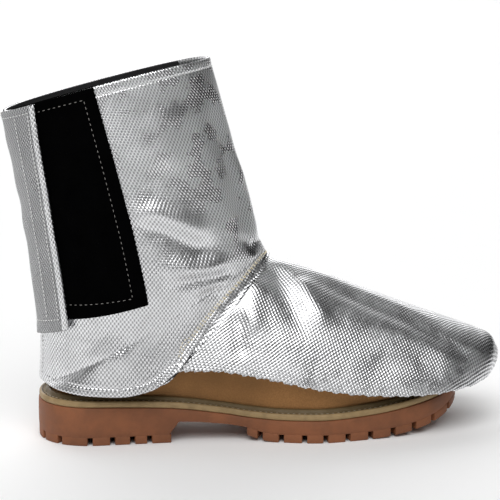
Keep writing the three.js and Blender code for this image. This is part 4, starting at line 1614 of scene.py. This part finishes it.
def make_outsole(sizes):
    """Gum rubber outsole with its heel, arch, toe spring and lugs."""
    bm = make_sole_body()
    make_lugs(bm)
    bmesh.ops.recalc_face_normals(bm, faces=bm.faces)
    sole = finish_piece("outsole_rubber", bm, [gum_rubber(sizes)], ["outsole"])
    split = sole.modifiers.new("flat faces", "EDGE_SPLIT")
    split.split_angle = FLAT_FACE_ANGLE


def refinish(node, material):
    """Gives a solid of the frame its finish."""
    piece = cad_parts[node]
    piece.data.materials.clear()
    piece.data.materials.append(material)


# The stage


CAMERA_TARGET = (153.56, 0, 130)
FLOOR_SIZE = 24
KEY_DIRECTION = (0.12, 0.55, -0.83)
BACK_DIRECTION = (0.1, -0.86, -0.5)
KEY_SPREAD = 56
BACK_SPREAD = 60


def add_sun(name, direction, strength, spread):
    """A broad, distant light that shines along a direction."""
    light = bpy.data.lights.new(name, "SUN")
    light.energy = strength
    light.angle = math.radians(spread)
    sun = bpy.data.objects.new(name, light)
    sun.rotation_euler = Vector(direction).to_track_quat("-Z", "Y").to_euler()
    bpy.context.scene.collection.objects.link(sun)


# Where the surroundings change with direction, and their strength before and after that
DARK_SIDE = (0.93, 0.37, 0.0)
BEHIND_GLOW = (0.0, 0.55, 0.2, 1.1)
OVERHEAD_SHADE = (0.7, 0.86, 1.0, 0.1)
TOE_SIDE_SHADE = (0.6, 0.88, 1.0, 0.04)


def make_world():
    """Pale surroundings, bright behind the boot, dim in front and dark at the toe's side."""
    world = bpy.data.worlds.new("studio")
    world.use_nodes = True
    bpy.context.scene.world = world
    nodes = Nodes(world.node_tree)
    direction = nodes.add("ShaderNodeTexCoord", output="Generated")
    depth = nodes.add("ShaderNodeSeparateXYZ", {}, {"Vector": direction}, output=1)
    height = nodes.add("ShaderNodeSeparateXYZ", {}, {"Vector": direction}, output=2)
    facing = {0: direction, 1: DARK_SIDE}
    side = nodes.add("ShaderNodeVectorMath", {"operation": "DOT_PRODUCT"}, facing, output="Value")
    seen = nodes.add("ShaderNodeLightPath", output="Is Camera Ray")
    overhead = nodes.step(height, *OVERHEAD_SHADE)
    beside_toe = nodes.step(side, *TOE_SIDE_SHADE)
    glow = nodes.step(depth, *BEHIND_GLOW) * overhead * beside_toe
    strength = glow + (1.0 - glow) * seen
    sockets = {"Color": (1, 1, 1, 1), "Strength": strength}
    background = nodes.add("ShaderNodeBackground", {}, sockets)
    nodes.add("ShaderNodeOutputWorld", {}, {"Surface": background})


def make_stage(sizes):
    """Camera at the photograph's angle, pale floor and soft light."""
    make_world()
    add_sun("key", KEY_DIRECTION, sizes.key, KEY_SPREAD)
    add_sun("back", BACK_DIRECTION, sizes.fill, BACK_SPREAD)
    bm = bmesh.new()
    bmesh.ops.create_grid(bm, x_segments=1, y_segments=1, size=FLOOR_SIZE / 2)
    mesh = bpy.data.meshes.new("floor")
    bm.to_mesh(mesh)
    bm.free()
    floor = bpy.data.objects.new("floor", mesh)
    bpy.context.scene.collection.objects.link(floor)
    mesh.materials.append(floor_paint(sizes))
    target = Vector(placed(np.array(CAMERA_TARGET)))
    a, e = sizes.azimuth, sizes.elevation
    back = Vector((math.sin(a) * math.cos(e), -math.cos(a) * math.cos(e), math.sin(e)))
    lens = bpy.data.cameras.new("camera")
    lens.lens = sizes.lens
    camera = bpy.data.objects.new("camera", lens)
    camera.location = target + back * sizes.distance
    camera.rotation_euler = back.to_track_quat("Z", "Y").to_euler()
    bpy.context.scene.collection.objects.link(camera)
    bpy.context.scene.camera = camera
    bpy.context.scene.view_settings.view_transform = "Standard"


def floor_paint(sizes):
    """Matt pale floor."""

    def surface(nodes):
        tone = nodes.noise(3, 2)
        return {
            "Base Color": nodes.blend(tone, shade(sizes.floor, 0.985), sizes.floor),
            "Roughness": nodes.varied(tone, 0.85, 0.9),
            "Specular IOR Level": 0.2,
        }

    return make_material("floor paint", surface)


# Operators and panel


class SPAT_OT_leg(bpy.types.Operator):
    """Build the spat's leg."""

    bl_idname = "spat.leg"
    bl_label = "Leg"

    def execute(self, context):
        make_leg(context.scene.spat_sizes)
        return {"FINISHED"}


class SPAT_OT_vamp(bpy.types.Operator):
    """Build the spat's vamp."""

    bl_idname = "spat.vamp"
    bl_label = "Vamp"

    def execute(self, context):
        make_vamp(context.scene.spat_sizes)
        return {"FINISHED"}


class SPAT_OT_closure(bpy.types.Operator):
    """Build the loop panel, the flap and its binding, and finish the hook strip."""

    bl_idname = "spat.closure"
    bl_label = "Closure"

    def execute(self, context):
        sizes = context.scene.spat_sizes
        make_loop_tape(sizes)
        make_flap(sizes)
        refinish("hook_strip", hook_and_loop(sizes))
        return {"FINISHED"}


class SPAT_OT_stitching(bpy.types.Operator):
    """Build the spat's stitches."""

    bl_idname = "spat.stitching"
    bl_label = "Stitching"

    def execute(self, context):
        make_stitching(context.scene.spat_sizes)
        return {"FINISHED"}


class SPAT_OT_upper(bpy.types.Operator):
    """Build the boot's upper and finish the inner sole."""

    bl_idname = "spat.upper"
    bl_label = "Upper"

    def execute(self, context):
        sizes = context.scene.boot_sizes
        make_upper(sizes)
        refinish("insole", insole_felt(sizes))
        return {"FINISHED"}


class SPAT_OT_welt(bpy.types.Operator):
    """Build the boot's welt and its stitches."""

    bl_idname = "spat.welt"
    bl_label = "Welt"

    def execute(self, context):
        make_welt(context.scene.boot_sizes)
        return {"FINISHED"}


class SPAT_OT_outsole(bpy.types.Operator):
    """Build the boot's outsole."""

    bl_idname = "spat.outsole"
    bl_label = "Outsole"

    def execute(self, context):
        make_outsole(context.scene.boot_sizes)
        return {"FINISHED"}


class SPAT_OT_stage(bpy.types.Operator):
    """Set up the camera, floor and light."""

    bl_idname = "spat.stage"
    bl_label = "Stage"

    def execute(self, context):
        make_stage(context.scene.stage_sizes)
        return {"FINISHED"}


OPERATORS = (
    SPAT_OT_stage,
    SPAT_OT_outsole,
    SPAT_OT_welt,
    SPAT_OT_upper,
    SPAT_OT_leg,
    SPAT_OT_vamp,
    SPAT_OT_closure,
    SPAT_OT_stitching,
)


class SPAT_PT_pieces(bpy.types.Panel):
    """Sizes, colours and pieces of the spat and its boot."""

    bl_idname = "SPAT_PT_pieces"
    bl_label = "Aluminized Spat"
    bl_space_type = "VIEW_3D"
    bl_region_type = "UI"
    bl_category = "Spat"

    def draw(self, context):
        for name in ("spat_sizes", "boot_sizes", "stage_sizes"):
            group = getattr(context.scene, name)
            column = self.layout.column()
            for prop in group.__annotations__:
                column.prop(group, prop)
        for operator in OPERATORS:
            self.layout.operator(operator.bl_idname)


CLASSES = (SpatSizes, BootSizes, StageSizes, *OPERATORS, SPAT_PT_pieces)


def register():
    """Adds the classes and the scene's settings."""
    for cls in CLASSES:
        bpy.utils.register_class(cls)
    bpy.types.Scene.spat_sizes = bpy.props.PointerProperty(type=SpatSizes)
    bpy.types.Scene.boot_sizes = bpy.props.PointerProperty(type=BootSizes)
    bpy.types.Scene.stage_sizes = bpy.props.PointerProperty(type=StageSizes)


def unregister():
    """Takes the classes and the scene's settings away."""
    del bpy.types.Scene.stage_sizes
    del bpy.types.Scene.boot_sizes
    del bpy.types.Scene.spat_sizes
    for cls in reversed(CLASSES):
        bpy.utils.unregister_class(cls)


def main():
    """Builds every piece."""
    register()
    bpy.ops.spat.stage()
    bpy.ops.spat.outsole()
    bpy.ops.spat.welt()
    bpy.ops.spat.upper()
    bpy.ops.spat.leg()
    bpy.ops.spat.vamp()
    bpy.ops.spat.closure()
    bpy.ops.spat.stitching()


if __name__ == "__main__":
    main()
